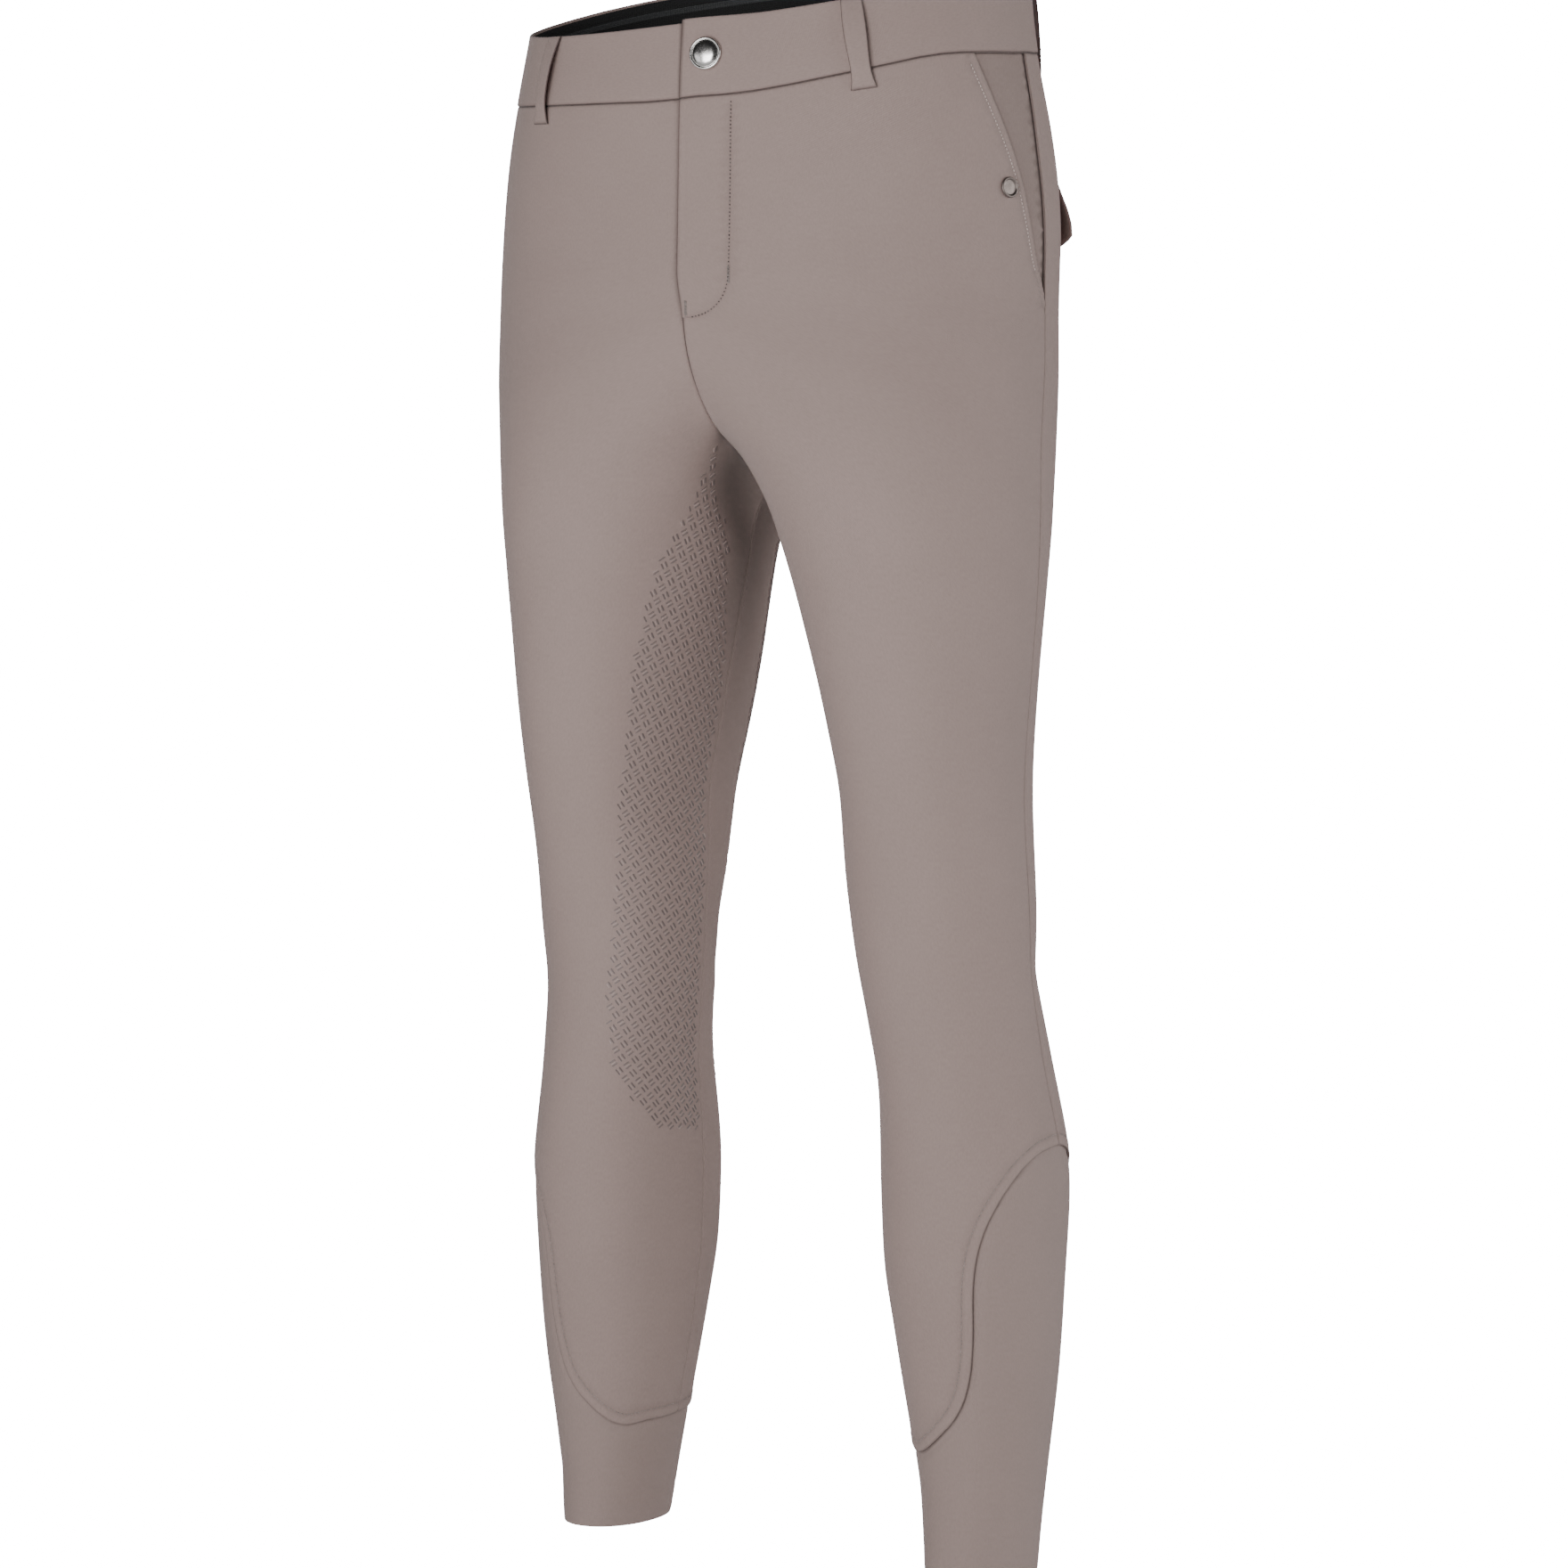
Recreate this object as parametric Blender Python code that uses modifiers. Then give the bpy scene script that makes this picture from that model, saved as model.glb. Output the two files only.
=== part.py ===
"""Riding breeches: stretch cloth panels sewn into a hollow pair of legs under a waistband.

Metres. The origin is the middle of the waist opening, +Z is up, the front faces -Y and the
wearer's left is +X. Every piece of cloth is cut in a plane of girth angle and height, laid on
one worked-out body surface, and given its thickness along that surface's own normals.
"""

import math

import bpy
import numpy as np
from mathutils import Matrix, Vector
from mathutils.geometry import delaunay_2d_cdt

# Cloth and seams
CLOTH_HALF = 0.0007
SEAM_HALF = 0.00015
LAYER_GAP = 0.0003
BAND_OUT = 0.0013
BAND_IN = -0.0009
TAPE_THICK = 0.0009
CUFF_THICK = 0.0011

# Heights along the side of the garment
WAIST_SEAM = -0.050
LEFT_HEM = -0.994
RIGHT_HEM = -0.981
TABLE_STEP = 0.005
TABLE_TOP = 0.040
TABLE_END = -1.040

# The fly: its lap past the centre front, its width and where its stitching turns in
FLY_LAP = 0.003
FLY_WIDTH = 0.032
FLY_LIFT = 0.0017
FLY_STEP_RUN = 0.006
FLY_TURN = -0.172
FLY_END = -0.205

# The waistband: the left end's rise over the fly's layers, and its rows and columns
BAND_END_LIFT = 0.0020
BAND_END_RUN = 0.060
BAND_ROWS = (0.0, -0.0165, -0.0330, WAIST_SEAM + 2 * SEAM_HALF)
FACING_ROWS = (-0.0018, -0.0165, -0.0330, -0.0465)
FRONT_TURNS = (97, 104, 112, 121, 131, 142, 153, 163, 172)
BACK_TURNS = (181, 190, 199, 209, 219, 229, 239, 249, 259)
BAND_TURNS = np.radians(FRONT_TURNS + BACK_TURNS)

# Girth angles in degrees: 0 at the inseam, 90 at the centre front, 180 outside, 270 at the back
CENTRE_BACK = 270.0

# Mesh: the plane's metres to a radian of girth, and the lattice laid in it
PLANE = 0.090
SPACING = 0.024
FACING_SPACING = 0.016

# Cross-sections of the left half at the middle of the cloth. outer and inner are the two ends in
# x (inner is the mirrored outer where the trunk is one ring), front and back are the ends in y,
# and lean shears the section so that the thigh runs from outer front to inner back.
SECTIONS = (
    # height, outer, inner, front, back, lean
    (0.000, 0.1590, -0.1590, -0.1255, 0.1150, 0.000),
    (-0.050, 0.1675, -0.1675, -0.1300, 0.1000, 0.000),
    (-0.100, 0.1770, -0.1770, -0.1300, 0.1115, 0.000),
    (-0.150, 0.1820, -0.1820, -0.1315, 0.1180, 0.000),
    (-0.200, 0.1805, -0.1490, -0.1335, 0.1105, 0.000),
    (-0.245, 0.1815, -0.0615, -0.1275, 0.1070, 0.000),
    (-0.285, 0.1775, -0.0100, -0.1240, 0.1005, 0.000),
    (-0.320, 0.1780, 0.0125, -0.1160, 0.0955, 0.010),
    (-0.370, 0.1765, 0.0250, -0.1040, 0.0875, 0.040),
    (-0.430, 0.1695, 0.0395, -0.0955, 0.0895, 0.080),
    (-0.500, 0.1635, 0.0535, -0.0825, 0.0785, 0.070),
    (-0.560, 0.1670, 0.0550, -0.0640, 0.0665, 0.011),
    (-0.620, 0.1665, 0.0615, -0.0565, 0.0660, -0.035),
    (-0.680, 0.1710, 0.0710, -0.0515, 0.0820, -0.022),
    (-0.740, 0.1820, 0.0700, -0.0520, 0.0930, 0.010),
    (-0.800, 0.1795, 0.0720, -0.0470, 0.0855, 0.015),
    (-0.870, 0.1775, 0.0825, -0.0340, 0.0740, 0.000),
    (-0.940, 0.1680, 0.0950, -0.0280, 0.0690, -0.018),
    (-1.000, 0.1620, 0.1030, -0.0310, 0.0610, -0.054),
)
SECTION_SOFT = (0.022, 0.010, 0.022, 0.022, 0.022)
ROUNDNESS = ((0.0, 2.3), (0.20, 2.3), (0.36, 2.1))

# How far the waist dips to the front and to the right side, fading out below the hips
WAIST_SET = (
    # depth below the waist, dip to the front, dip to the right
    (0.00, 0.256, 0.058),
    (0.05, 0.222, 0.055),
    (0.15, 0.099, 0.023),
    (0.26, 0.000, 0.000),
)

# How far the waistband's top edge and its seam wander from their even heights as it is worn
WAIST_LIFTS = (
    # girth angle, left top, left seam, right top, right seam
    (92.0, 0.0000, 0.0000, 0.0000, 0.0000),
    (97.0, 0.0000, -0.0010, 0.0000, 0.0005),
    (103.0, 0.0000, -0.0009, 0.0000, 0.0018),
    (110.0, 0.0000, 0.0001, 0.0000, 0.0029),
    (120.0, 0.0000, 0.0018, 0.0000, 0.0039),
    (132.0, 0.0000, 0.0034, 0.0000, 0.0044),
    (143.0, 0.0000, 0.0048, 0.0000, 0.0040),
    (150.0, 0.0000, 0.0044, 0.0000, 0.0035),
    (156.0, 0.0000, 0.0031, 0.0000, 0.0032),
    (162.0, -0.0004, 0.0012, 0.0000, 0.0030),
    (168.0, -0.0012, -0.0006, 0.0000, 0.0030),
    (180.0, -0.0046, -0.0046, 0.0004, 0.0030),
    (190.0, -0.0072, -0.0074, 0.0008, 0.0030),
    (200.0, -0.0088, -0.0088, 0.0012, 0.0030),
    (215.0, -0.0086, -0.0086, 0.0015, 0.0028),
    (240.0, -0.0050, -0.0050, 0.0008, 0.0016),
    (262.0, -0.0006, -0.0006, 0.0001, 0.0002),
    (270.0, 0.0000, 0.0000, 0.0000, 0.0000),
)

SIDE_SEAM = (
    # height, girth angle
    (-0.058, 183.0),
    (-0.115, 181.5),
    (-0.200, 183.0),
    (-0.265, 185.0),
    (-0.320, 186.5),
    (-0.600, 187.0),
    (-0.725, 187.0),
)

POCKET_MOUTH = (
    # height, girth angle, from the waist seam down to the side seam
    (WAIST_SEAM, 161.0),
    (-0.090, 167.0),
    (-0.125, 172.5),
    (-0.150, 175.5),
    (-0.178, 179.0),
    (-0.200, 183.0),
)

# Upper edge of the stretch panel, once round the leg from the inseam
CUFF_SEAM = (
    # girth angle, height
    (0.0, -0.9105),
    (14.0, -0.9115),
    (33.0, -0.9120),
    (52.0, -0.9150),
    (66.0, -0.9120),
    (81.0, -0.9040),
    (95.0, -0.8930),
    (105.0, -0.8800),
    (111.0, -0.8620),
    (114.5, -0.8380),
    (116.5, -0.8060),
    (120.0, -0.7850),
    (126.0, -0.7680),
    (136.0, -0.7510),
    (150.0, -0.7350),
    (166.0, -0.7255),
    (187.0, -0.7225),
    (205.0, -0.7280),
    (222.0, -0.7420),
    (236.0, -0.7620),
    (247.0, -0.7900),
    (255.0, -0.8240),
    (264.0, -0.8560),
    (277.0, -0.8820),
    (295.0, -0.9010),
    (318.0, -0.9080),
    (340.0, -0.9100),
    (360.0, -0.9105),
)
CUFF_EDGE_RUN = 0.006
CUFF_STEEP_RUN = 0.030
CUFF_LIFTS = (
    # girth angle, how far the main cloth stands up over the stretch panel's turned edge
    (0.0, 0.0012),
    (70.0, 0.0012),
    (115.0, 0.0007),
    (150.0, 0.0003),
    (220.0, 0.0003),
    (290.0, 0.0010),
    (360.0, 0.0012),
)

# Broad hollows and swells of the cloth: along and across are half lengths on the surface
FOLDS = (
    # side, girth angle, height, slant in degrees, along, across, depth
    (1, 275.0, -0.590, 12.0, 0.055, 0.016, -0.0022),
    (1, 262.0, -0.632, -10.0, 0.048, 0.015, -0.0026),
    (-1, 272.0, -0.600, 14.0, 0.052, 0.016, -0.0024),
    (-1, 258.0, -0.640, -12.0, 0.050, 0.015, -0.0020),
    (1, 285.0, -0.262, 24.0, 0.060, 0.020, -0.0024),
    (-1, 282.0, -0.256, 27.0, 0.056, 0.019, -0.0021),
    (1, 66.0, -0.640, -20.0, 0.040, 0.018, -0.0014),
    (-1, 150.0, -0.628, 16.0, 0.044, 0.018, -0.0016),
)

BELT_LOOPS = (
    # name, side, girth angle at the top, girth angle at the foot
    ("belt_loop_front_left", 1, 126.0, 128.0),
    ("belt_loop_front_right", -1, 126.5, 129.0),
    ("belt_loop_side_left", 1, 211.0, 211.0),
    ("belt_loop_side_right", -1, 211.0, 211.0),
    ("belt_loop_back", 1, 270.0, 270.0),
)
LOOP_WIDTH = 0.0130
LOOP_THICK = 0.0015
LOOP_PATH = (
    # height, gap under the strip, share of its width
    (-0.0005, 0.0003, 0.97),
    (-0.0050, 0.0012, 1.00),
    (-0.0110, 0.0023, 1.03),
    (-0.0190, 0.0030, 1.05),
    (-0.0280, 0.0032, 1.04),
    (-0.0370, 0.0030, 0.98),
    (-0.0450, 0.0027, 0.92),
    (-0.0520, 0.0022, 0.91),
    (-0.0580, 0.0012, 1.02),
    (-0.0630, 0.0007, 1.14),
)

FLAP_ENDS = (208.0, 250.0)
FLAP_TOP = -0.133
FLAP_DROP = 0.030
FLAP_POINT = 0.010
FLAP_THICK = 0.0016
FLAP_COLUMNS = 9
FLAP_ROWS = (
    # share of the drop, gap at the side-seam end, gap at the seat end
    (0.00, 0.0004, 0.0004),
    (0.25, 0.0030, 0.0010),
    (0.50, 0.0058, 0.0018),
    (0.75, 0.0078, 0.0024),
    (1.00, 0.0082, 0.0026),
)

# Girth angle and height of the button and the snap, their gap to the cloth and their lean in
# degrees on their shanks, the button outward and the snap forward
BUTTON_AT = (93.75, -0.0230)
SNAP_AT = (166.5, -0.1330)
BUTTON_GAP = 0.0012
SNAP_GAP = 0.0007
BUTTON_LEAN = 9.0
SNAP_LEAN = -7.0
BUTTON_PROFILE = (
    # radius, height over its back
    (0.0096, 0.0000),
    (0.0100, 0.0006),
    (0.0100, 0.0015),
    (0.0095, 0.0022),
    (0.0087, 0.0022),
    (0.0083, 0.0017),
    (0.0077, 0.0023),
    (0.0062, 0.0031),
    (0.0038, 0.0036),
)
SNAP_PROFILE = (
    # radius, height over its back
    (0.0060, 0.0000),
    (0.0063, 0.0005),
    (0.0061, 0.0012),
    (0.0053, 0.0016),
    (0.0049, 0.0012),
    (0.0030, 0.0013),
)
METAL_SIDES = 28
METAL_MERGE = 0.00002
CROWN_RISE = 0.0002

CLOTH_COLOUR = (0.305, 0.255, 0.232, 1.0)
POCKET_COLOUR = (0.262, 0.217, 0.198, 1.0)
CUFF_COLOUR = (0.290, 0.245, 0.225, 1.0)
TAPE_COLOUR = (0.013, 0.013, 0.014, 1.0)
BUTTON_COLOUR = (0.62, 0.60, 0.58, 1.0)
SNAP_COLOUR = (0.34, 0.30, 0.28, 1.0)
CLOTH_ROUGHNESS = 0.80
BUTTON_ROUGHNESS = 0.22
SNAP_ROUGHNESS = 0.45


# The body surface -----------------------------------------------------------------------------

SCALE = np.arange(TABLE_TOP, TABLE_END - TABLE_STEP / 2, -TABLE_STEP)


def softened(values, soft):
    """One column of SECTIONS on a fine scale of heights, with its corners rounded off."""
    rows = np.array([-row[0] for row in SECTIONS])
    fine = np.interp(-SCALE, rows, values)
    reach = int(round(3 * soft / TABLE_STEP))
    before = 2 * fine[0] - fine[reach:0:-1]
    after = 2 * fine[-1] - fine[-2:-reach - 2:-1]
    offsets = np.arange(-reach, reach + 1) * TABLE_STEP
    weights = np.exp(-0.5 * (offsets / soft) ** 2)
    return np.convolve(np.concatenate([before, fine, after]), weights / weights.sum(), "valid")


COLUMNS = [
    softened(np.array([row[column + 1] for row in SECTIONS]), soft)
    for column, soft in enumerate(SECTION_SOFT)
]


def section_at(height):
    """(outer, inner, front, back, lean) at each height."""
    return [np.interp(-height, -SCALE, column) for column in COLUMNS]


def roundness_at(height):
    return np.interp(-height, [row[0] for row in ROUNDNESS], [row[1] for row in ROUNDNESS])


def waist_set(height):
    depths = [row[0] for row in WAIST_SET]
    to_front = np.interp(-height, depths, [row[1] for row in WAIST_SET])
    to_right = np.interp(-height, depths, [row[2] for row in WAIST_SET])
    return to_front, to_right


def power(value, exponent):
    return np.sign(value) * np.abs(value) ** exponent


def plain_point(side, angle, height):
    """Points of the surface before its folds; side is 1 for the left half and -1 for the right."""
    outer, inner, front, back, lean = section_at(height)
    share = 2 / roundness_at(height)
    middle_y = (front + back) / 2
    x = (outer + inner) / 2 - (outer - inner) / 2 * power(np.cos(angle), share)
    y = middle_y - (back - front) / 2 * power(np.sin(angle), share)
    x = x - lean * (y - middle_y)
    to_front, to_right = waist_set(height)
    z = height + to_front * y + to_right * side * x
    return np.stack([side * x, y, z], axis=-1)


def hung(side, angle, height):
    """Where the worn waistband carries a height of its even strip."""
    turns = np.radians([row[0] for row in WAIST_LIFTS])
    column = 1 if side > 0 else 3
    top = np.interp(angle, turns, [row[column] for row in WAIST_LIFTS])
    seam = np.interp(angle, turns, [row[column + 1] for row in WAIST_LIFTS])
    share = np.clip(height / WAIST_SEAM, 0, 1)
    return height + top * (1 - share) + seam * share


ANGLE_NUDGE = 0.012
HEIGHT_NUDGE = 0.004


def slopes(side, angle, height):
    """The surface's run to a radian of girth and its run to a metre of height."""
    ahead = plain_point(side, angle + ANGLE_NUDGE, height)
    behind = plain_point(side, angle - ANGLE_NUDGE, height)
    above = plain_point(side, angle, height + HEIGHT_NUDGE)
    below = plain_point(side, angle, height - HEIGHT_NUDGE)
    return (ahead - behind) / (2 * ANGLE_NUDGE), (above - below) / (2 * HEIGHT_NUDGE)


def outward(side, angle, height):
    along, up = slopes(side, angle, height)
    normal = side * np.cross(along, up)
    return normal / np.linalg.norm(normal, axis=-1, keepdims=True)


def fold_depth(side, angle, height):
    """How far the cloth stands out of the plain surface in its broad folds."""
    depth = np.zeros(np.broadcast(angle, height).shape)
    along, _ = slopes(side, angle, height)
    girth = np.linalg.norm(along, axis=-1)
    for fold_side, fold_angle, fold_height, slant, length, width, rise in FOLDS:
        if fold_side != side:
            continue
        turn = (angle - math.radians(fold_angle) + math.pi) % (2 * math.pi) - math.pi
        run = turn * girth
        lift = height - fold_height
        lean = math.radians(slant)
        far = run * math.cos(lean) + lift * math.sin(lean)
        near = lift * math.cos(lean) - run * math.sin(lean)
        depth = depth + rise * np.exp(-0.5 * (far / length) ** 2 - 0.5 * (near / width) ** 2)
    return depth


def surface(side, angle, height, offset):
    """Points of the folded cloth, moved out by offset."""
    normal = outward(side, angle, height)
    stand = fold_depth(side, angle, height) + offset
    return plain_point(side, angle, height) + normal * stand[..., None]


def angle_at_x(x, height, back=False):
    """The girth angle at which the section stands this far from the centre plane."""
    outer, inner, _, _, _ = section_at(height)
    share = ((outer + inner) / 2 - x) / ((outer - inner) / 2)
    turn = math.acos(float(np.clip(power(share, roundness_at(height) / 2), -1, 1)))
    return 2 * math.pi - turn if back else turn


def crotch_height():
    """The height at which the two legs part."""
    _, inner, _, _, _ = section_at(SCALE)
    return float(np.interp(0.0, inner, -SCALE)) * -1


CROTCH = crotch_height()


def fly_share(height):
    """1 along the fly, easing to 0 at its foot."""
    share = float(np.clip((height - FLY_END) / (FLY_TURN - FLY_END), 0, 1))
    return share * share * (3 - 2 * share)


def smooth_step(value):
    value = np.clip(value, 0, 1)
    return value * value * (3 - 2 * value)


def fly_lift(points, angle, height):
    """The extra layers under the left front's fly, out to its J-shaped line of stitching."""
    drop = np.clip((FLY_TURN - height) / (FLY_TURN - FLY_END), 0, 1)
    edge = FLY_WIDTH * np.sqrt(np.clip(1 - drop ** 2, 0, 1))
    inside = smooth_step((edge - points[..., 0]) / FLY_STEP_RUN + 0.5)
    front = np.sin(angle) > 0
    return FLY_LIFT * inside * front * (height > FLY_END)


# Cutting out ----------------------------------------------------------------------------------

# Steps along each seam, the same for the two pieces that meet there
POCKET_STEPS = 8
SIDE_STEPS = 26
INSEAM_STEPS = 30
CENTRE_STEPS = 13
CUFF_STEPS = 48
HEM_STEPS = 24
LEAST_TURN = 0.02
CENTRE_SAMPLES = 400
EASE_SHARES = 8
EASE_PASSES = 6


def eased(rows, count):
    """A smooth curve through a table's rows, as count + 1 points evenly spaced along it."""
    rows = np.array(rows, float)
    step = np.diff(rows, axis=0)
    along = np.concatenate([[0], np.cumsum(np.hypot(step[:, 0], step[:, 1]))])
    fine = np.linspace(0, along[-1], count * EASE_SHARES + 1)
    curve = np.stack([np.interp(fine, along, rows[:, k]) for k in range(2)], axis=1)
    for _ in range(EASE_PASSES):
        curve[1:-1] = (curve[:-2] + 2 * curve[1:-1] + curve[2:]) / 4
    return curve[::EASE_SHARES]


def side_top(side):
    """The height at which the side seam meets the waist seam."""
    return float(hung(side, math.radians(SIDE_SEAM[0][1]), WAIST_SEAM))


def side_seam(top, foot, count):
    heights = np.linspace(top, foot, count + 1)
    angles = np.interp(-heights, [-row[0] for row in SIDE_SEAM], [row[1] for row in SIDE_SEAM])
    return np.stack([np.radians(angles), heights], axis=1)


def pocket_mouth(side):
    rows = [(math.radians(angle) * PLANE, height) for height, angle in POCKET_MOUTH]
    rows[0] = (rows[0][0], hung(side, rows[0][0] / PLANE, WAIST_SEAM))
    curve = eased(rows, POCKET_STEPS)
    curve[:, 0] /= PLANE
    return curve


def cuff_seam():
    """The stretch panel's seam round the leg, and the index of its point at the side seam."""
    rows = [(math.radians(angle) * PLANE, height) for angle, height in CUFF_SEAM]
    curve = eased(rows, CUFF_STEPS)
    curve[:, 0] /= PLANE
    top = int(np.argmin(np.abs(curve[:, 0] - math.radians(SIDE_SEAM[-1][1]))))
    return curve, top


def inseam(at_back):
    heights = np.linspace(CUFF_SEAM[0][1], CROTCH, INSEAM_STEPS + 1)
    return np.stack([np.full(len(heights), 2 * math.pi if at_back else 0.0), heights], axis=1)


def centre_seam(at_back, count, lap):
    """From the crotch up to the waist seam, spaced evenly along the body's own curve."""
    heights = CROTCH + (WAIST_SEAM - CROTCH) * np.linspace(0, 1, CENTRE_SAMPLES) ** 2
    angles = np.array([angle_at_x(lap(height), height, at_back) for height in heights])
    points = plain_point(1, angles, heights)
    along = np.concatenate([[0], np.cumsum(np.linalg.norm(np.diff(points, axis=0), axis=1))])
    even = np.linspace(0, along[-1], count + 1)
    return np.stack([np.interp(even, along, angles), np.interp(even, along, heights)], axis=1)


def waist_line(side, start, end):
    """Along the waist seam, with a point at each of the waistband's own columns."""
    turns = [turn for turn in BAND_TURNS if start + LEAST_TURN < turn < end - LEAST_TURN]
    angles = np.array([start, *turns, end])
    return np.stack([angles, hung(side, angles, np.full(len(angles), WAIST_SEAM))], axis=1)


def outline(*curves):
    """Curves end to end as one closed outline, without repeated points."""
    points = []
    for curve in curves:
        for point in curve:
            if not points or abs(point - points[-1]).max() > 1e-6:
                points.append(point)
    if abs(points[0] - points[-1]).max() < 1e-6:
        points.pop()
    return np.array(points)


def inset(points, distance):
    """The outline drawn in by a distance measured on the body surface."""
    along, up = slopes(1, points[:, 0], points[:, 1])
    scale = np.stack([np.linalg.norm(along, axis=1), np.linalg.norm(up, axis=1)], axis=1)
    ahead = (np.roll(points, -1, axis=0) - points) * scale
    behind = (points - np.roll(points, 1, axis=0)) * scale
    ahead /= np.linalg.norm(ahead, axis=1, keepdims=True)
    behind /= np.linalg.norm(behind, axis=1, keepdims=True)
    x, y = points[:, 0], points[:, 1]
    turning = np.sign(np.sum(x * np.roll(y, -1) - np.roll(x, -1) * y))
    inward = ahead + behind
    inward = turning * np.stack([-inward[:, 1], inward[:, 0]], axis=1)
    inward /= np.linalg.norm(inward, axis=1, keepdims=True)
    side = turning * np.stack([-ahead[:, 1], ahead[:, 0]], axis=1)
    spread = np.clip(np.sum(inward * side, axis=1), 0.5, 1)
    return points + inward / spread[:, None] * distance / scale


def inside(polygon, points):
    """Which points lie inside a closed outline."""
    found = np.zeros(len(points), bool)
    for (ax, ay), (bx, by) in zip(polygon, np.roll(polygon, -1, axis=0)):
        crosses = (ay > points[:, 1]) != (by > points[:, 1])
        if not crosses.any():
            continue
        at = ax + (points[:, 1] - ay) / (by - ay + 1e-30) * (bx - ax)
        found ^= crosses & (points[:, 0] < at)
    return found


def nearest(polygon, points):
    """Each point's distance to a closed outline."""
    best = np.full(len(points), 1e9)
    for start, end in zip(polygon, np.roll(polygon, -1, axis=0)):
        run = end - start
        share = np.clip((points - start) @ run / (run @ run), 0, 1)
        best = np.minimum(best, np.linalg.norm(points - start - share[:, None] * run, axis=1))
    return best


def cut(pattern, spacing=SPACING, extra=()):
    """(points, faces): the pattern filled with even triangles, in girth angle and height."""
    plane = pattern * np.array([PLANE, 1.0])
    low, high = plane.min(axis=0), plane.max(axis=0)
    rise = spacing * math.sqrt(3) / 2
    lattice = []
    for row in range(int(low[1] / rise) - 1, int(high[1] / rise) + 2):
        shift = 0.5 * (row % 2)
        for column in range(int(low[0] / spacing) - 2, int(high[0] / spacing) + 3):
            lattice.append(((column + shift) * spacing, row * rise))
    lattice = np.array(lattice)
    lattice = lattice[inside(plane, lattice)]
    lattice = lattice[nearest(plane, lattice) > 0.45 * spacing]
    if len(extra):
        extra = np.array(extra) * np.array([PLANE, 1.0])
        extra = extra[inside(plane, extra)]
        extra = extra[nearest(plane, extra) > 0.002]
        far = [np.min(np.hypot(*(extra - point).T)) > 0.4 * spacing for point in lattice]
        lattice = np.concatenate([lattice[far], extra])
    every = [Vector(point) for point in np.concatenate([plane, lattice])]
    result = delaunay_2d_cdt(every, [], [list(range(len(plane)))], 1, 1e-7)
    points = np.array([tuple(point) for point in result[0]]) / np.array([PLANE, 1.0])
    faces = []
    for face in result[2]:
        a, b, c = (points[k] for k in face)
        ccw = (b[0] - a[0]) * (c[1] - a[1]) - (b[1] - a[1]) * (c[0] - a[0]) > 0
        faces.append(tuple(face) if ccw else tuple(face[::-1]))
    used = sorted({k for face in faces for k in face})
    index = {old: new for new, old in enumerate(used)}
    return points[used], [tuple(index[k] for k in face) for face in faces]


def grid(columns, rows):
    """(points, faces): a strip of cloth cut straight, with a column at each girth angle."""
    points = np.array([(angle, height) for height in rows for angle in columns])
    wide = len(columns)
    faces = []
    for row in range(len(rows) - 1):
        for column in range(wide - 1):
            a = row * wide + column
            faces.append((a + wide, a + wide + 1, a + 1, a))
    return points, faces


# Making the solids ----------------------------------------------------------------------------

def material(name, colour, roughness, metallic):
    made = bpy.data.materials.new(name)
    made.use_nodes = True
    shader = made.node_tree.nodes["Principled BSDF"]
    shader.inputs["Base Color"].default_value = colour
    shader.inputs["Roughness"].default_value = roughness
    shader.inputs["Metallic"].default_value = metallic
    return made


def add_object(name, points, faces, colour):
    mesh = bpy.data.meshes.new(name)
    mesh.from_pydata([tuple(point) for point in points], [], faces)
    mesh.validate()
    made = bpy.data.objects.new(name, mesh)
    made.data.materials.append(material(name, colour, CLOTH_ROUGHNESS, 0.0))
    collection.objects.link(made)
    return made


def rim(faces):
    """The edges that belong to one face only, each as that face runs along it."""
    runs = {}
    for face in faces:
        for a, b in zip(face, face[1:] + face[:1]):
            runs[(a, b)] = runs.get((a, b), 0) + 1
    return [(a, b) for a, b in runs if (b, a) not in runs]


def sheet(name, outer, inner, faces, colour, flipped):
    """A closed solid between two matching skins of points."""
    count = len(outer)
    if flipped:
        faces = [face[::-1] for face in faces]
    under = [tuple(k + count for k in face[::-1]) for face in faces]
    sides = [(b, a, a + count, b + count) for a, b in rim(faces)]
    return add_object(name, np.concatenate([outer, inner]), faces + under + sides, colour)


def kept_clear(points, side, least):
    """Points moved off the centre plane, so that the two halves don't meet."""
    points[:, 0] = side * np.maximum(side * points[:, 0], least)
    return points


def no_lap(_height):
    return 0.0


def left_lap(height):
    return -FLY_LAP * fly_share(height)


def right_lap(height):
    return FLY_LAP * fly_share(height)


def front_pattern(side, lap):
    seam, top = cuff_seam()
    mouth = pocket_mouth(side)
    start = angle_at_x(lap(WAIST_SEAM), WAIST_SEAM)
    return outline(
        waist_line(side, start, mouth[0, 0]),
        mouth,
        side_seam(mouth[-1, 1], seam[top, 1], SIDE_STEPS),
        seam[:top + 1][::-1],
        inseam(False),
        centre_seam(False, CENTRE_STEPS, lap),
    )


def back_pattern(side):
    seam, top = cuff_seam()
    mouth = pocket_mouth(side)
    centre = centre_seam(True, CENTRE_STEPS + 1, no_lap)
    return outline(
        waist_line(side, math.radians(SIDE_SEAM[0][1]), centre[-1, 0]),
        centre[::-1],
        inseam(True)[::-1],
        seam[top:][::-1],
        side_seam(mouth[-1, 1], seam[top, 1], SIDE_STEPS)[::-1],
        side_seam(side_top(side), mouth[-1, 1], POCKET_STEPS)[::-1],
    )


def facing_pattern(side):
    mouth = pocket_mouth(side)
    upper = side_seam(side_top(side), mouth[-1, 1], POCKET_STEPS)
    return outline(waist_line(side, mouth[0, 0], upper[0, 0]), upper, mouth[::-1])


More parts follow.
